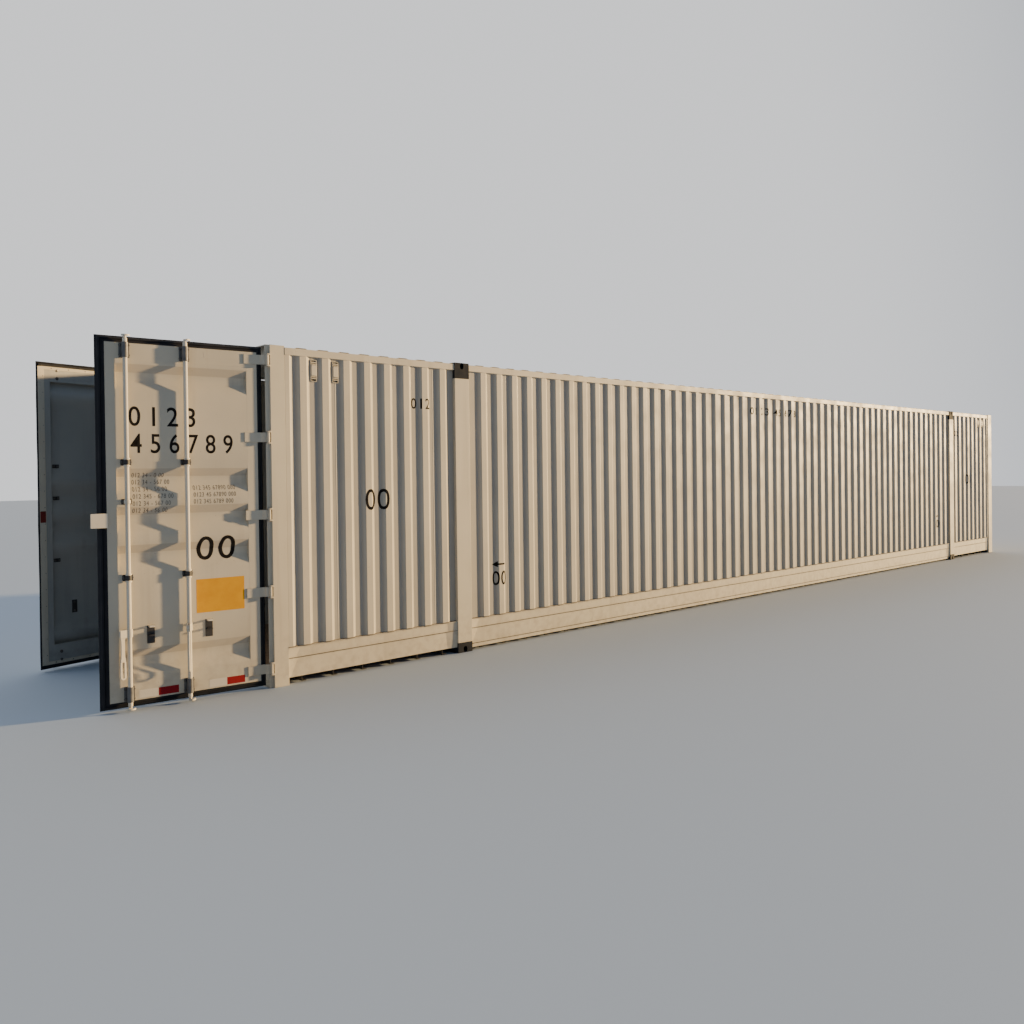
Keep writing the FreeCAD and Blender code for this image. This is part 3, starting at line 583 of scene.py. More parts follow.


# On a leaf, faces that look inwards and slopes that look down wear darker copies of the paint, as painted shade.
def softened(node, finish, width):
    mesh = nodes[node].data.copy()
    work = bmesh.new()
    work.from_mesh(mesh)
    bmesh.ops.remove_doubles(work, verts=work.verts, dist=mergeSetup["distance"])
    bmesh.ops.dissolve_limit(work, angle_limit=math.radians(mergeSetup["flatAngle"]), verts=work.verts,
                             edges=work.edges)
    softenEdges(work, mergeSetup["smoothAngle"])
    work.to_mesh(mesh)
    work.free()
    mesh.materials.clear()
    mesh.materials.append(finishes[finish])
    kind = node.split("_", 1)[1]
    for number, (low, high, other) in enumerate(bandSetup.get(kind, [])):
        mesh.materials.append(finishes[other])
        for face in mesh.polygons:
            if low < face.center.z < high:
                face.material_index = number + 1
    if kind in ("door_frame", "door_panel"):
        # Two darker copies of the paint: painted shade on inward faces and on the panel's down-facing slopes.
        mesh.materials.append(finishes["innerPaint"])
        mesh.materials.append(finishes["slopePaint"])
        swing = {leaf.word: leaf.swing for leaf in leaves}[node.split("_")[0]]
        facing = mergeSetup["facing"]
        for face in mesh.polygons:
            inward = face.normal.x * swing.real + face.normal.y * swing.imag
            shadedSlope = kind == "door_panel" and face.normal.z < -facing
            face.material_index = 1 if inward > facing else 2 if shadedSlope else 0
    piece = bpy.data.objects.new(node + "_softened", mesh)
    if width:
        bevel = piece.modifiers.new("rims", "BEVEL")
        bevel.width = width
        bevel.segments = 2
        bevel.limit_method = "ANGLE"
        bevel.angle_limit = math.radians(mergeSetup["bevelAngle"])
        bevel.use_clamp_overlap = True
    hang(piece, bodyOf[node])
    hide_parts(node)


for softNode, (softFinish, softWidth) in softSetup.items():
    softened(softNode, softFinish, softWidth)
print("softened pieces:", len(softSetup))


# Finishes of the nodes that keep their own mesh.
finishOfSlot = {"paint": "bodyPaint", "rod_paint": "rodPaint", "casting": "castSteel",
                "galvanised": "galvanised", "rubber": "sealRubber", "floor_board": "floorBoards",
                "underframe": "underCoat"}
for node, piece in nodes.items():
    nodeFinish = "wallPaint" if node in ("right_wall", "left_wall") else finishOfSlot[slotOf[node]]
    piece.data.materials.clear()
    piece.data.materials.append(finishes[nodeFinish])
print("nodes painted")


# Welds where the folded walls meet their rails, dark beads there of dirt and painted shade, and butt welds between
# the wall's sheets.
wallSetup = {"bead": 0.004, "dirt": 0.007, "bayGap": 0.15, "seamEvery": 5, "seamHalf": 0.005,
             "seamRise": 0.0016, "lapHeight": 0.230, "lapDirt": 0.005, "skirtLine": 0.075}


# The outer face's line of each bay, as (x, out) points, with the wall's bottom and top.
def wallLines(node, side):
    points = pointsOf(node)
    x, out = foldLine(points[:, 0], side * points[:, 1], 1)
    breaks = np.flatnonzero(np.diff(x) > wallSetup["bayGap"]) + 1
    lines = [np.column_stack(pair) for pair in zip(np.split(x, breaks), np.split(out, breaks))]
    return lines, points[:, 2].min(), points[:, 2].max()


walls = {"right": (-1, *wallLines("right_wall", -1)), "left": (1, *wallLines("left_wall", 1))}


# Quarter of a round bead that fills the corner between a face and a ledge; up is 1 or -1.
def arcProfile(radius, up):
    angle = np.linspace(0, math.pi / 2, 4)
    rim = np.stack([np.cos(angle) * radius, up * np.sin(angle) * radius], 1)
    return np.concatenate([[(-0.0005, -0.0005 * up)], rim])


# Beads, and dark beads of dirt and painted shade, are carried along each bay's line; a seam runs up every fifth
# valley.
def wallWelds(word):
    side, lines, low, high = walls[word]
    flip = lambda points: points * (1, side, 1)
    beads, dirt, seams = [], [], []
    lap = wallSetup["lapHeight"]
    points = np.abs(pointsOf("bottom_rails"))
    web = points[points[:, 2] < lap - 0.01, 1].max()
    heights = [(lap,), (lap, wallSetup["skirtLine"]), (lap,)]
    for number, line in enumerate(lines):
        ends = np.array([(line[0, 0], web), (line[-1, 0], web)])
        for height in heights[number]:
            # dark beads along the lap strip's lower edge and the skirt line: dirt and painted shade
            dirt.append(moved(carried(arcProfile(wallSetup["lapDirt"], -1), ends, False), (0, 0, height)))
        beads.append(moved(carried(arcProfile(wallSetup["bead"], -1), line, False), (0, 0, high)))
        dirt.append(moved(carried(arcProfile(wallSetup["dirt"], 1), line, False), (0, 0, low)))
        valley = line[:, 1].min()
        middles = (line[1:, 0] + line[:-1, 0]) / 2
        flatLow = (np.abs(line[1:, 1] - valley) < 1e-4) & (np.abs(line[:-1, 1] - valley) < 1e-4)
        spots = middles[flatLow][wallSetup["seamEvery"] // 2::wallSetup["seamEvery"]]
        half, rise = wallSetup["seamHalf"], wallSetup["seamRise"]
        ridge = np.array([(-0.0005, half), (rise * 0.8, half * 0.6), (rise, 0), (rise * 0.8, -half * 0.6),
                          (-0.0005, -half)])
        bar = carried(ridge, [(low, 0.0), (high, 0.0)], False)
        bar = (bar[0][:, ::-1], bar[1])
        for spot in spots:
            seams.append(moved(bar, (spot, valley, 0)))
    makePiece(word + "WallWelds", mapped(merged(beads + seams), flip), "bodyPaint", "container", 50)
    makePiece(word + "WallJointDirt", mapped(merged(dirt), flip), "jointDirt", "container", 50)


for wallWord in walls:
    wallWelds(wallWord)
print("wall welds laid")


# Vents: a pressed hood over a dark backing plate that paints the shade inside the openings, with slats showing
# above and below it.
ventSetup = {"edge": 0.004, "lowSlot": (0.10, 0.26), "highSlot": (0.76, 0.92), "slats": 2,
             "slatThick": 0.0066, "margin": 0.006}


# Each vent is drawn flat, about its middle, then stood against the wall's valley.
def ventHoods():
    points = pointsOf("ventilators")
    low, high = points[:, 2].min(), points[:, 2].max()
    hoods, shadeBackings = [], []
    for side in (-1, 1):
        own = points[side * points[:, 1] > 0]
        ends = np.unique(np.round(own[:, 0], 4)).reshape(-1, 2)
        back, front = (side * own[:, 1]).min(), (side * own[:, 1]).max()
        depth, tall = front - back, high - low
        for start, end in ends:
            middle, wide = (start + end) / 2, end - start
            outline = roundedBox(wide - ventSetup["margin"], tall - ventSetup["margin"], 0.006)
            rim = [(-0.003, 0.0), (-0.003, depth * 0.5), (0.0, depth * 0.6), (0.003, depth * 0.5),
                   (0.003, 0.0)]
            parts = [carried(rim, outline, True)]
            bottom, top = ventSetup["lowSlot"][1], ventSetup["highSlot"][0]
            cover = plateOf(roundedBox(wide - 0.008, (top - bottom) * tall, 0.008), depth - 0.002,
                            ventSetup["edge"])
            parts.append(moved(cover, (0, (bottom + top) / 2 * tall - tall / 2, 0.001)))
            slatLine = roundedBox(wide - 0.010, ventSetup["slatThick"], 0.001)
            for slot in (ventSetup["lowSlot"], ventSetup["highSlot"]):
                for number in range(ventSetup["slats"]):
                    share = (number + 0.6) / ventSetup["slats"]
                    height = (slot[0] + share * (slot[1] - slot[0])) * tall - tall / 2
                    lean, faces = plateOf(slatLine, depth * 0.75, 0.001)
                    lean[:, 1] -= lean[:, 2] * 0.5
                    parts.append(moved((lean, faces), (0, height + 0.004, 0.0)))
            # A flat dark plate behind the slats: painted shade inside the vent's openings.
            backing = plateOf(outline, 0.0012, 0.0004)
            def rule(p):
                upward = p[:, 1] + (low + high) / 2
                return np.column_stack([p[:, 0] + middle, side * (back + p[:, 2]), upward])
            hoods.append(mapped(merged(parts), rule))
            shadeBackings.append(mapped(backing, rule))
    hood = makePiece("ventHoods", merged(hoods), "bodyPaint", "container", 30)
    makePiece("ventGrilles", merged(shadeBackings), "darkBush", "container")
    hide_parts("ventilators")


ventHoods()
print("vents made")


# Door seals: a soft band whose lip stands past the steel edge and waves a little at the bottom.
sealSetup = {"lip": {"right": (0.010, 0.014, 0.014), "left": (-0.004, 0.010, 0.014)},
             "lipDepth": (0.024, 0.034), "flange": 0.28, "groove": 0.006, "step": 0.05, "wave": 0.0018}


# A ring around the steel frame: a profile carried round it, the lip's reach set by the side it is on.
def sealBand(leaf):
    node = leaf.word + "_door_gasket"
    low, high = leaf.span(node)
    steelLow, steelHigh = leaf.span(leaf.word + "_door_frame")
    lipFree, lipLow, lipHigh = sealSetup["lip"][leaf.word]
    inner = (steelLow[1] - 0.001, steelHigh[1] + 0.001, steelLow[2] - 0.001, steelHigh[2] + 0.001)
    outer = (low[1] - lipFree, high[1], low[2] - lipLow, high[2] + lipHigh)
    share = np.linspace(0, 1, int((high[2] - low[2]) / sealSetup["step"]))
    loop = []
    for rect in (inner, outer):
        a0, a1, b0, b1 = rect
        loop.append(np.concatenate([np.column_stack([a0 + share * (a1 - a0), np.full(len(share), b0)])[:-1],
                                    np.column_stack([np.full(len(share), a1), b0 + share * (b1 - b0)])[:-1],
                                    np.column_stack([a1 + share * (a0 - a1), np.full(len(share), b1)])[:-1],
                                    np.column_stack([np.full(len(share), a0), b1 + share * (b0 - b1)])[:-1]]))
    innerLoop, outerLoop = loop
    way = np.arange(len(innerLoop)) / len(innerLoop)
    wave = sealSetup["wave"] * (np.sin(2 * math.pi * 11 * way) + 0.6 * np.sin(2 * math.pi * 29 * way + 1.0))
    front, back = low[0], high[0]
    lipFront, lipBack = front + sealSetup["lipDepth"][0], front + sealSetup["lipDepth"][1]
    # share across the band from the steel edge (0) to the lip's end (1), and depth in from the end plane
    flange = sealSetup["flange"]
    section = np.array([(-flange, steelLow[0] + 0.0005), (-flange, steelLow[0] - 0.0012),
                        (-0.04, steelLow[0] - 0.0018), (0.02, front), (0.18, front - 0.001),
                        (0.26, front + sealSetup["groove"]), (0.34, front), (0.60, front + 0.003),
                        (0.74, lipFront - 0.006), (0.97, lipFront), (1.0, (lipFront + lipBack) / 2),
                        (0.97, lipBack), (0.76, lipBack + 0.004), (0.62, back - 0.010), (0.5, back),
                        (0.0, back)])
    across, depth = section.T
    flat = innerLoop[:, None] + (outerLoop - innerLoop)[:, None] * across[None, :, None]
    depthGrid = depth[None, :] + wave[:, None] * (across[None, :] > 0.7)
    points = np.concatenate([depthGrid[..., None], flat], -1).reshape(-1, 3)
    band = (points, [gridFaces(len(innerLoop), len(section), True, True)])
    piece = makePiece(leaf.word + "DoorSeal", mapped(band, leaf.place), "sealRubber", leaf.body, 50)
    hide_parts(node)


# On each leaf's inner side a flat strip holds the seal down, and rivets hold the strip.
stripSetup = {"width": 0.030, "thick": 0.0025, "rivetEvery": 0.15, "rivet": 0.005}


# The strip's section is carried round the leaf, and rivets stand evenly along each side.
def sealStrip(leaf):
    low, high = leaf.span(leaf.word + "_door_frame")
    half = stripSetup["width"] / 2
    line = np.array([(low[1] + half, low[2] + half), (high[1] - half, low[2] + half),
                     (high[1] - half, high[2] - half), (low[1] + half, high[2] - half)])
    thick = stripSetup["thick"]
    section = [(-half, 0), (-half, thick * 0.6), (-half * 0.9, thick), (half * 0.9, thick),
               (half, thick * 0.6), (half, 0)]
    ring = carried(section, line, True)
    spots = []
    for start, end in zip(line, np.roll(line, -1, 0)):
        count = int(np.linalg.norm(end - start) / stripSetup["rivetEvery"])
        share = (np.arange(count) + 0.5)[:, None] / count
        spots.append(start + (end - start) * share)
    spots = np.concatenate(spots)
    r = stripSetup["rivet"]
    rivet = turned([(r, 0), (r * 0.9, r * 0.35), (r * 0.5, r * 0.6)], 10)
    rivets = repeated(rivet, np.column_stack([spots, np.full(len(spots), thick)]))
    rule = lambda p: leaf.place(np.column_stack([high[0] + p[:, 2], p[:, 0], p[:, 1]]))
    makePiece(leaf.word + "SealStrip", mapped(ring, rule), "bodyPaint", leaf.body)
    makePiece(leaf.word + "SealRivets", mapped(rivets, rule), "boltSteel", leaf.body, 40)


# Rod fittings: dark bushes under the collars, bolts beside them, and nuts on the leaf's inner side.
guideSetup = {"bushThick": 0.0022, "bushWide": 0.074, "endBolts": 0.076, "bolt": 0.0085, "boltRise": 0.007,
              "boltSide": 0.029, "nutSide": 0.030, "barRadius": 0.017, "stopRing": 0.024, "stopTall": 0.012,
              "fullTall": 0.034, "nutsLow": 0.18, "nutsHigh": 0.14}


# The outer face's line of the leaf's pressed sheet, as heights and depths in from the end plane.
def doorSheet(leaf):
    points = leaf.closed(leaf.word + "_door_panel")
    heights, depth = foldLine(points[:, 2], points[:, 0], -1)
    frameLow, frameHigh = leaf.span(leaf.word + "_door_frame")
    heights = np.concatenate([[frameLow[2]], heights, [frameHigh[2]]])
    depth = np.concatenate([[frameLow[0]], depth, [frameLow[0]]])
    return heights, depth


# Heights of the guides on the inner rod's line, as (low, high) pairs, read from the node's mesh.
def guideRows(leaf):
    points = leaf.closed(leaf.word + "_rod_guides")
    near = points[np.abs(points[:, 1] - leaf.rods["inner"]["out"]) < 0.05]
    levels = np.unique(np.round(near[:, 2], 4))
    breaks = np.flatnonzero(np.diff(levels) > 0.2) + 1
    return [(part.min(), part.max()) for part in np.split(levels, breaks)]


# Bushes and bolts stand on the guides' bases, counted outwards; nuts stand on the leaf's inner face.
def guideFittings(leaf):
    low, high = leaf.span(leaf.word + "_door_frame")
    back = high[0]
    baseTop = leaf.span(leaf.word + "_handle_catches")[1][0] - 0.006
    rows = guideRows(leaf)
    ends, middles = (rows[0], rows[-1]), rows[1:-1]
    bushes, bolts, nuts = [], [], []
    bolt = boltShape(guideSetup["bolt"], guideSetup["boltRise"])
    for rod in leaf.rods.values():
        for bottom, top in middles:
            if top - bottom < guideSetup["fullTall"] and rod is leaf.rods["outer"]:
                continue
            centre = (bottom + top) / 2
            outline = roundedBox(guideSetup["bushWide"], top - bottom + 0.012, 0.004)
            plate = plateOf(outline, guideSetup["bushThick"], 0.0006)
            bushes.append(moved(plate, (rod["out"], centre, 0)))
            aside, rise = guideSetup["boltSide"], guideSetup["bushThick"]
            bolts.append(repeated(bolt, [(rod["out"] + way * aside, centre, rise) for way in (-1, 1)]))
            nuts += [(rod["out"] + way * guideSetup["nutSide"], centre) for way in (-1, 1)]
        for bottom, top in ends:
            centre = (bottom + top) / 2
            for way in (-1, 1):
                height = centre + way * guideSetup["endBolts"] / 2
                bolts.append(repeated(bolt, [(rod["out"] + beside * guideSetup["boltSide"], height, 0.0)
                                             for beside in (-1, 1)]))
                nuts.append((rod["out"], height))
    outward = lambda p: leaf.place(np.column_stack([baseTop - p[:, 2], p[:, 0], p[:, 1]]))
    inward = lambda p: leaf.place(np.column_stack([back + p[:, 2], p[:, 0], p[:, 1]]))
    makePiece(leaf.word + "GuideBushes", mapped(merged(bushes), outward), "darkBush", leaf.body)
    makePiece(leaf.word + "GuideBolts", mapped(merged(bolts), outward), "boltSteel", leaf.body,
              30)
    lowest, highest = low[2] + guideSetup["nutsLow"], high[2] - guideSetup["nutsHigh"]
    nuts = [(*nut, 0.0) for nut in nuts if nut[1] < lowest or nut[1] > highest]
    nutShape = repeated(boltShape(0.011, 0.004), nuts)
    makePiece(leaf.word + "GuideNuts", mapped(nutShape, inward), "boltSteel", leaf.body, 30)


# On the leaf's inner side: bolted plates behind the guides and catches, and the left leaf's edge strip.
innerSetup = {"plate": (0.062, 0.034, 0.003), "catchPlate": (0.050, 0.120, 0.003),
              "strip": (0.013, 0.070, 0.002), "mark": (1.385, 1.490), "sheet": 0.002}


# Plates lie on the sheet's inner face, which is the outer line's depth plus the sheet.
def innerFittings(leaf):
    folds, depth = doorSheet(leaf)
    low, high = leaf.span(leaf.word + "_door_frame")
    sheet = innerSetup["sheet"]
    wide, tall, thick = innerSetup["plate"]
    plates, bolts = [], []
    plate = plateOf(roundedBox(wide, tall, 0.004), thick, 0.0006)
    for bottom, top in guideRows(leaf)[1:-1]:
        centre = (bottom + top) / 2
        level = np.interp(centre, folds, depth) + sheet
        for rod in leaf.rods.values():
            plates.append(moved(plate, (rod["out"], centre, level)))
            bolts += [(rod["out"] + way * wide * 0.3, centre, level + thick) for way in (-1, 1)]
    wide, tall, thick = innerSetup["catchPlate"]
    catchLow, catchHigh = leaf.span(leaf.word + "_handle_catches")
    centre = (catchLow[2] + catchHigh[2]) / 2
    level = np.interp(centre, folds, depth) + sheet
    rodMiddle = (leaf.rods["inner"]["out"] + leaf.rods["outer"]["out"]) / 2
    reach = (catchLow[1] + catchHigh[1]) / 2 - rodMiddle
    plate = plateOf(roundedBox(wide, tall, 0.004), thick, 0.0006)
    for rod in leaf.rods.values():
        plates.append(moved(plate, (rod["out"] + reach, centre, level)))
        bolts += [(rod["out"] + reach, centre + way * tall * 0.35, level + thick) for way in (-1, 1)]
    rule = lambda p: leaf.place(np.column_stack([p[:, 2], p[:, 0], p[:, 1]]))
    heads = repeated(boltShape(0.008, 0.006), bolts)
    makePiece(leaf.word + "InnerPlates", mapped(merged(plates), rule), "darkBush", leaf.body)
    makePiece(leaf.word + "InnerBolts", mapped(heads, rule), "boltSteel", leaf.body, 30)
    if leaf.word == "left":
        start, end, thick = innerSetup["strip"]
        strip = plateOf(roundedBox(end - start, high[2] - low[2] - 0.004, 0.003), thick, 0.0006)
        back = high[0] + stripSetup["thick"] + 0.0002
        strip = moved(strip, ((start + end) / 2, (low[2] + high[2]) / 2, back))
        makePiece("leftEdgeStrip", mapped(strip, rule), "bodyPaint", leaf.body)
        markLow, markHigh = innerSetup["mark"]
        mark = plateOf(roundedBox(end - start - 0.006, markHigh - markLow, 0.004), 0.001, 0.0003)
        mark = moved(mark, ((start + end) / 2, (markLow + markHigh) / 2, back + thick))
        makePiece("leftEdgeMark", mapped(mark, rule), "dullRed", leaf.body)


# Stop rings above and below the middle guides, turned about each rod's own axis.
def rodFittings(leaf):
    rows = [row for row in guideRows(leaf)[1:-1] if row[1] - row[0] > guideSetup["fullTall"]]
    bar, wide, tall = (guideSetup[key] for key in ("barRadius", "stopRing", "stopTall"))
    ring = turned([(bar * 0.98, 0), (wide * 0.97, 0.0006), (wide, 0.003), (wide, tall - 0.003),
                   (wide * 0.97, tall - 0.0006), (bar * 0.98, tall)], 24)
    heights = [height for bottom, top in rows for height in (bottom - tall - 0.003, top + 0.003)]
    rings = repeated(ring, [(0, 0, height) for height in heights])
    for name, rod in leaf.rods.items():
        rule = leaf.placeOnRod(name)
        onRod = lambda p: rule(np.column_stack([rod["in"] + p[:, 0], rod["out"] + p[:, 1], p[:, 2]]))
        makePiece("%s_%s_rodRings" % (leaf.word, name), mapped(rings, onRod), "rodPaint", rod["body"],
                  40)


# Handles: an eye on the hub's pin, a tapering shank, and a grip with a long slot.
handleSetup = {"gripTall": 0.150, "shankShare": 0.62, "eyeSides": 28, "edge": 0.0016, "slotShare": 0.30}


# Section of a flat band, wide by thick, its four corners cut back by edge.
def bandSection(wide, thick, edge):
    half = wide / 2
    return [(-half, edge), (-half, thick - edge), (edge - half, thick), (half - edge, thick),
            (half, thick - edge), (half, edge), (half - edge, 0), (edge - half, 0)]


# The handle is drawn hanging, in the box that its node fills with the door closed and the rod locked.
def handleShape(leaf, name):
    rod = leaf.rods[name]
    node = rod["handle"]
    joint = joints["%s_%s_handle_pivot" % (leaf.word, name)]
    points = pointsOf(node)
    spot = leaf.pin + (points[:, 0] + 1j * points[:, 1] - leaf.pin) / leaf.swing
    spot = rod["centre"] + (spot - rod["centre"]) / rod["turn"]
    inward, out = spot.real + halfLength, leaf.side * spot.imag
    front, back = inward.min(), inward.max()
    left, right = out.min(), out.max()
    bottom, pivot = points[:, 2].min(), joint["pos_m"][2]
    half, middle, thick = (right - left) / 2, (right + left) / 2, back - front
    edge = handleSetup["edge"]
    parts = []
    # eye: a thick ring around the pin
    ringWide = half * 0.62
    circle = np.linspace(0, 2 * math.pi, handleSetup["eyeSides"], endpoint=False)
    eyeLine = np.stack([np.cos(circle), np.sin(circle)], 1) * (half - ringWide / 2)
    eye = carried(bandSection(ringWide, thick, edge), eyeLine, True)
    parts.append(moved(eye, (middle, pivot, 0)))
    # shank: widens towards the eye and the grip
    gripTop = bottom + handleSetup["gripTall"]
    shankTop, shankLow = pivot - half * 0.75, gripTop - half * 0.3
    share = np.linspace(0, 1, 9)
    waist = half * (handleSetup["shankShare"] + (0.9 - handleSetup["shankShare"]) * (2 * share - 1) ** 4)
    height = shankLow + (shankTop - shankLow) * share
    outline = np.concatenate([np.stack([waist, height], 1), np.stack([-waist, height], 1)[::-1]])
    parts.append(moved(plateOf(outline, thick * 0.86, edge), (middle, 0, thick * 0.07)))
    # grip: a band carried round a long loop, which leaves the slot open
    band = half * (1 - handleSetup["slotShare"]) * 0.9
    loop = roundedBox(2 * half - band, handleSetup["gripTall"] - band, half - band / 2 - 0.0002, 5)
    grip = carried(bandSection(band, thick, edge), loop, True)
    parts.append(moved(grip, (middle, bottom + handleSetup["gripTall"] / 2, 0)))
    rule = leaf.placeOnRod(name)
    place = lambda p: rule(np.column_stack([front + p[:, 2], p[:, 0], p[:, 1]]))
    piece = makePiece("%s_%s_handleBar" % (leaf.word, name), mapped(merged(parts), place), "rodPaint", node,
                      35)
    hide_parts(node)


for leaf in leaves:
    sealBand(leaf)
    sealStrip(leaf)
    guideFittings(leaf)
    innerFittings(leaf)
    rodFittings(leaf)
    for rodName in leaf.rods:
        handleShape(leaf, rodName)
    print("fitted", leaf.word, "door")


# Painted marks are thin skins that follow the folded sheet. None of them is a real code.
markSetup = {"skin": 0.0006, "sink": 0.0002, "digitShare": 0.70, "doorEdge": 0.004}


# A thin strip over folds: its four-cornered section carried along the fold breaks.
def skinStrip(breaks, level, across):
    skin, sink = markSetup["skin"], markSetup["sink"]
    start, end = across
    breaks, level = np.asarray(breaks, float), np.asarray(level, float)
    rows = [np.column_stack([breaks, np.full(len(breaks), side), level + rise])
            for side, rise in ((start, -sink), (end, -sink), (end, skin), (start, skin))]
    points = np.stack(rows, 1).reshape(-1, 3)
    count = np.arange(4)
    lids = np.stack([count[::-1], count + 4 * (len(breaks) - 1)])
    return points, [gridFaces(len(breaks), 4, False, True), lids]


# The two ends and every fold between them.
def breaksBetween(low, high, folds):
    inside = folds[(folds > low + 1e-4) & (folds < high - 1e-4)]
    return np.concatenate([[low], inside, [high]])


# Plain digits as a thin skin: cut along the folds, then lifted onto the sheet.
# Points keep their (along, up) place, and the third number is the sheet's level there plus the skin.
def digitSkins(name, mark, sheet, finish, body, place, foldAxis, weight):
    text, start, base, tall, spread, narrow = mark
    folds, levels = sheet
    curve = bpy.data.curves.new(name, "FONT")
    curve.body = text
    curve.size = tall / markSetup["digitShare"]
    curve.offset = weight
    curve.resolution_u = 5
    curve.space_character = spread
    holder = bpy.data.objects.new(name + "Curve", curve)
    bpy.context.scene.collection.objects.link(holder)
    depsgraph = bpy.context.evaluated_depsgraph_get()
    mesh = bpy.data.meshes.new_from_object(holder.evaluated_get(depsgraph))
    bpy.data.objects.remove(holder)
    work = bmesh.new()
    work.from_mesh(mesh)
    bmesh.ops.remove_doubles(work, verts=work.verts, dist=1e-5)
    for vertex in work.verts:
        vertex.co = (start + vertex.co.x * narrow, base + vertex.co.y, 0.0)
    bmesh.ops.triangulate(work, faces=work.faces)
    direction = Vector((1, 0, 0)) if foldAxis == 0 else Vector((0, 1, 0))
    for fold in folds:
        bmesh.ops.bisect_plane(work, geom=work.verts[:] + work.edges[:] + work.faces[:], dist=1e-6,
                               plane_co=direction * fold, plane_no=direction)
    bmesh.ops.triangulate(work, faces=work.faces)
    bmesh.ops.recalc_face_normals(work, faces=work.faces)
    work.to_mesh(mesh)
    work.free()
    points = np.empty(len(mesh.vertices) * 3, np.float32)
    mesh.vertices.foreach_get("co", points)
    points = points.reshape(-1, 3).astype(float)
    points[:, 2] = np.interp(points[:, foldAxis], folds, levels)
    faces = np.array([tuple(face.vertices) for face in mesh.polygons])
    edges = np.concatenate([faces[:, [0, 1]], faces[:, [1, 2]], faces[:, [2, 0]]])
    key = np.sort(edges, 1)
    index, count = np.unique(key, axis=0, return_index=True, return_counts=True)[1:]
    rim = edges[index[count == 1]]
    total = len(points)
    top, under = points.copy(), points.copy()
    top[:, 2] += markSetup["skin"]
    under[:, 2] -= markSetup["sink"]
    sides = np.column_stack([rim[:, 1], rim[:, 0], rim[:, 0] + total, rim[:, 1] + total])
    shape = (np.concatenate([top, under]), [np.concatenate([faces, faces[:, ::-1] + total]), sides])
    bpy.data.meshes.remove(mesh)
    return makePiece(name, mapped(shape, place), finish, body)


# Digits on the right door, each (text, start, base, height, spread, narrowing), start and base in metres
# from the free edge and the ground; plates and tapes are (start, end, low, high).
doorMarks = {"upperDigits": ("0123", 0.210, 2.19, 0.150, 1.47, 0.88),
             "lowerDigits": ("456789", 0.225, 1.98, 0.150, 1.62, 0.80),
             "bigDigits": ("00", 0.70, 1.12, 0.190, 1.15, 1.1),
             "rows": [("012 34 - 0 00", 0.235, 1.790), ("012 34 - 567 00", 0.235, 1.736),
                      ("012 34 - 56 00", 0.235, 1.681), ("012 345 - 678 00", 0.235, 1.626),
                      ("012 34 - 567 00", 0.235, 1.571), ("012 34 - 56 00", 0.235, 1.516),
                      ("012 345 67890 000", 0.685, 1.685), ("0123 45 67890 000", 0.685, 1.630),
                      ("012 345 6789 000", 0.685, 1.575)],
             "rowShape": (0.036, 1.15, 0.72), "amber": (0.694, 1.075, 0.695, 0.965),
             "redTapes": ((0.40, 0.55), (0.924, 1.07)), "whiteTapes": ((0.26, 0.40), (0.784, 0.924)),
             "tapeHeights": (0.085, 0.145), "barePlate": (0.78, 1.04, 2.745, 2.80)}


# Digits are drawn (along, up) and plates (up, along); either way the third number counts outwards.
def doorMarkings(leaf):
    folds, depth = doorSheet(leaf)
    levels = -depth
    edge = markSetup["doorEdge"]
    place = lambda p: leaf.place(np.column_stack([-p[:, 2], p[:, 0] + edge, p[:, 1]]))
    rule = lambda p: leaf.place(np.column_stack([-p[:, 2], p[:, 1] + edge, p[:, 0]]))
    for name in ("upperDigits", "lowerDigits", "bigDigits"):
        digitSkins(name, doorMarks[name], (folds, levels), "stencilInk", leaf.body, place, 1, 0.0012)
    for number, row in enumerate(doorMarks["rows"]):
        digitSkins("dataRow%d" % number, (*row, *doorMarks["rowShape"]), (folds, levels), "faintInk",
                   leaf.body, place, 1, 0.0)
    flats = {"amberPlate": [doorMarks["amber"]], "barePlate": [doorMarks["barePlate"]],
             "redTape": [(*pair, *doorMarks["tapeHeights"]) for pair in doorMarks["redTapes"]],
             "whiteTape": [(*pair, *doorMarks["tapeHeights"]) for pair in doorMarks["whiteTapes"]]}
    for name, boxes in flats.items():
        strips = []
        for start, end, low, high in boxes:
            breaks = breaksBetween(low, high, folds)
            strips.append(skinStrip(breaks, np.interp(breaks, folds, levels), (start, end)))
        finish = "bodyPaint" if name == "barePlate" else name
        pieceName = "door" + name[0].upper() + name[1:]
        makePiece(pieceName, mapped(merged(strips), rule), finish, leaf.body)


doorMarkings(leaves[0])
print("door marked")


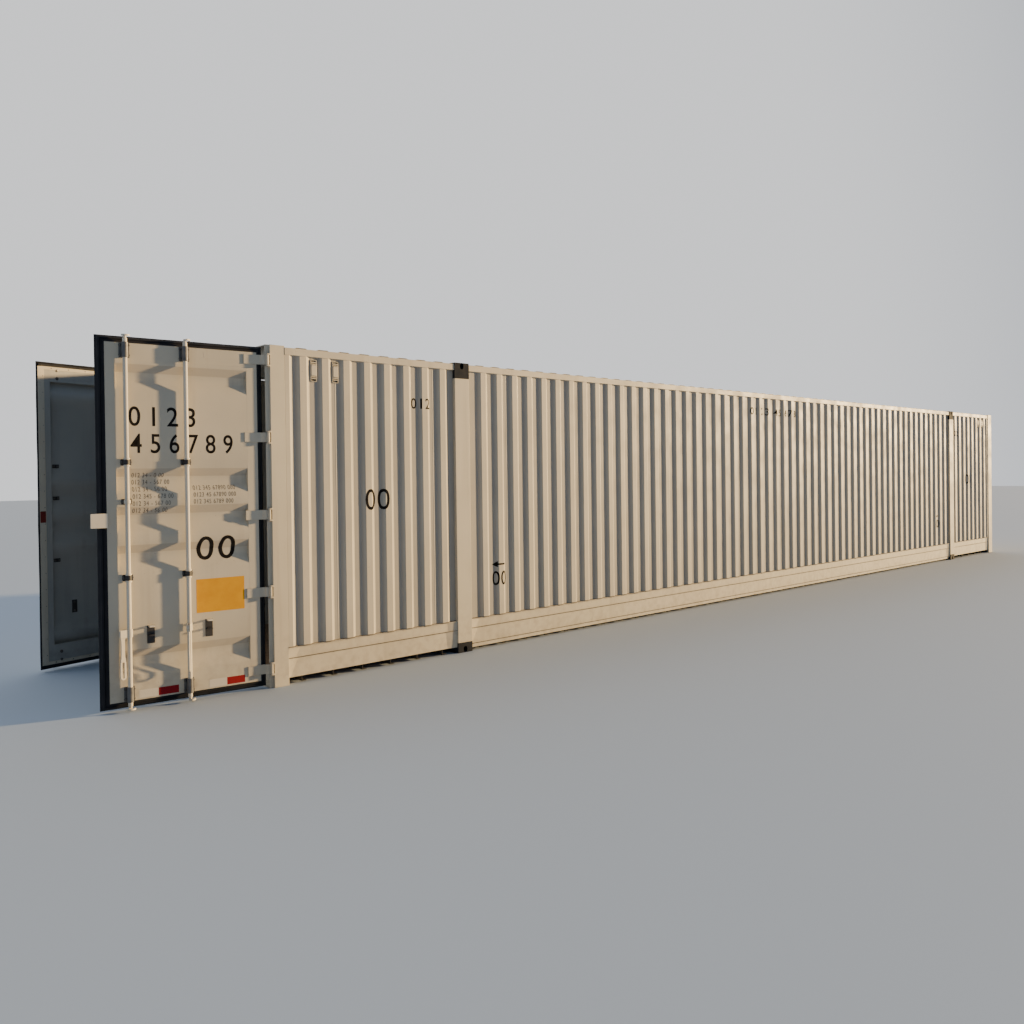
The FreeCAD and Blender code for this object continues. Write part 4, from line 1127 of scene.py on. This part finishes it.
# Marks on both side walls: digits as on the door, and arrows, placed by x and height in metres.
sideMarks = {"digits": {"bigDigits": ("00", -7.13, 1.47, 0.19, 1.1, 0.95),
                        "shortDigits": ("012", -6.60, 2.42, 0.10, 1.1, 0.95),
                        "lowDigits": ("00", -5.62, 0.63, 0.145, 1.1, 0.85),
                        "longDigits": ("0123 45678", -0.90, 2.58, 0.10, 1.6, 1.15),
                        "farDigits": ("00", 6.75, 1.47, 0.19, 1.1, 0.95),
                        "farLowDigits": ("00", 5.28, 0.66, 0.145, 1.1, 0.85),
                        "endDigits": ("012", 6.18, 2.42, 0.10, 1.1, 0.95)},
             "arrows": [(-5.62, 0.845), (5.28, 0.875)],
             "arrow": {"long": 0.16, "tall": 0.062, "head": 0.065, "shaftFrom": 0.05, "shaftShare": 0.14}}


# An arrow is a strip for its shaft and a wedge that widens evenly from its tip.
def wallMarkings(word):
    side, lines = walls[word][:2]
    line = np.concatenate(lines)
    folds, levels = line[:, 0], line[:, 1]
    # the marks read from left to right, so on the left wall they run the other way
    turn = -side
    folds, levels = (folds, levels) if turn == 1 else (-folds[::-1], levels[::-1])
    place = lambda p: np.column_stack([turn * p[:, 0], side * p[:, 2], p[:, 1]])
    for key, mark in sideMarks["digits"].items():
        close = folds[(folds > mark[1] - 0.3) & (folds < mark[1] + 2.2)]
        sheet = (close, np.interp(close, folds, levels))
        digitSkins(word + key[0].upper() + key[1:], mark, sheet, "stencilInk", "container", place, 0, 0.001)
    arrows = []
    skin, sink, setup = markSetup["skin"], markSetup["sink"], sideMarks["arrow"]
    for start, height in sideMarks["arrows"]:
        shaft = breaksBetween(start + setup["shaftFrom"], start + setup["long"], folds)
        half = setup["tall"] * setup["shaftShare"]
        arrows.append(skinStrip(shaft, np.interp(shaft, folds, levels), (height - half, height + half)))
        head = breaksBetween(start, start + setup["head"], folds)
        head = np.unique(np.concatenate([head, np.linspace(head[0], head[-1], 5)]))
        reach = np.maximum((head - head[0]) / (head[-1] - head[0]), 0.02) * setup["tall"] / 2
        level = np.interp(head, folds, levels)
        rows = [np.column_stack([head, height + way * reach, level + rise])
                for way, rise in ((-1, -sink), (1, -sink), (1, skin), (-1, skin))]
        count = np.arange(4)
        lids = np.stack([count[::-1], count + 4 * (len(head) - 1)])
        arrows.append((np.stack(rows, 1).reshape(-1, 3), [gridFaces(len(head), 4, False, True), lids]))
    makePiece(word + "WallArrows", mapped(merged(arrows), place), "stencilInk", "container")


for wallWord in walls:
    wallMarkings(wallWord)
print("walls marked")
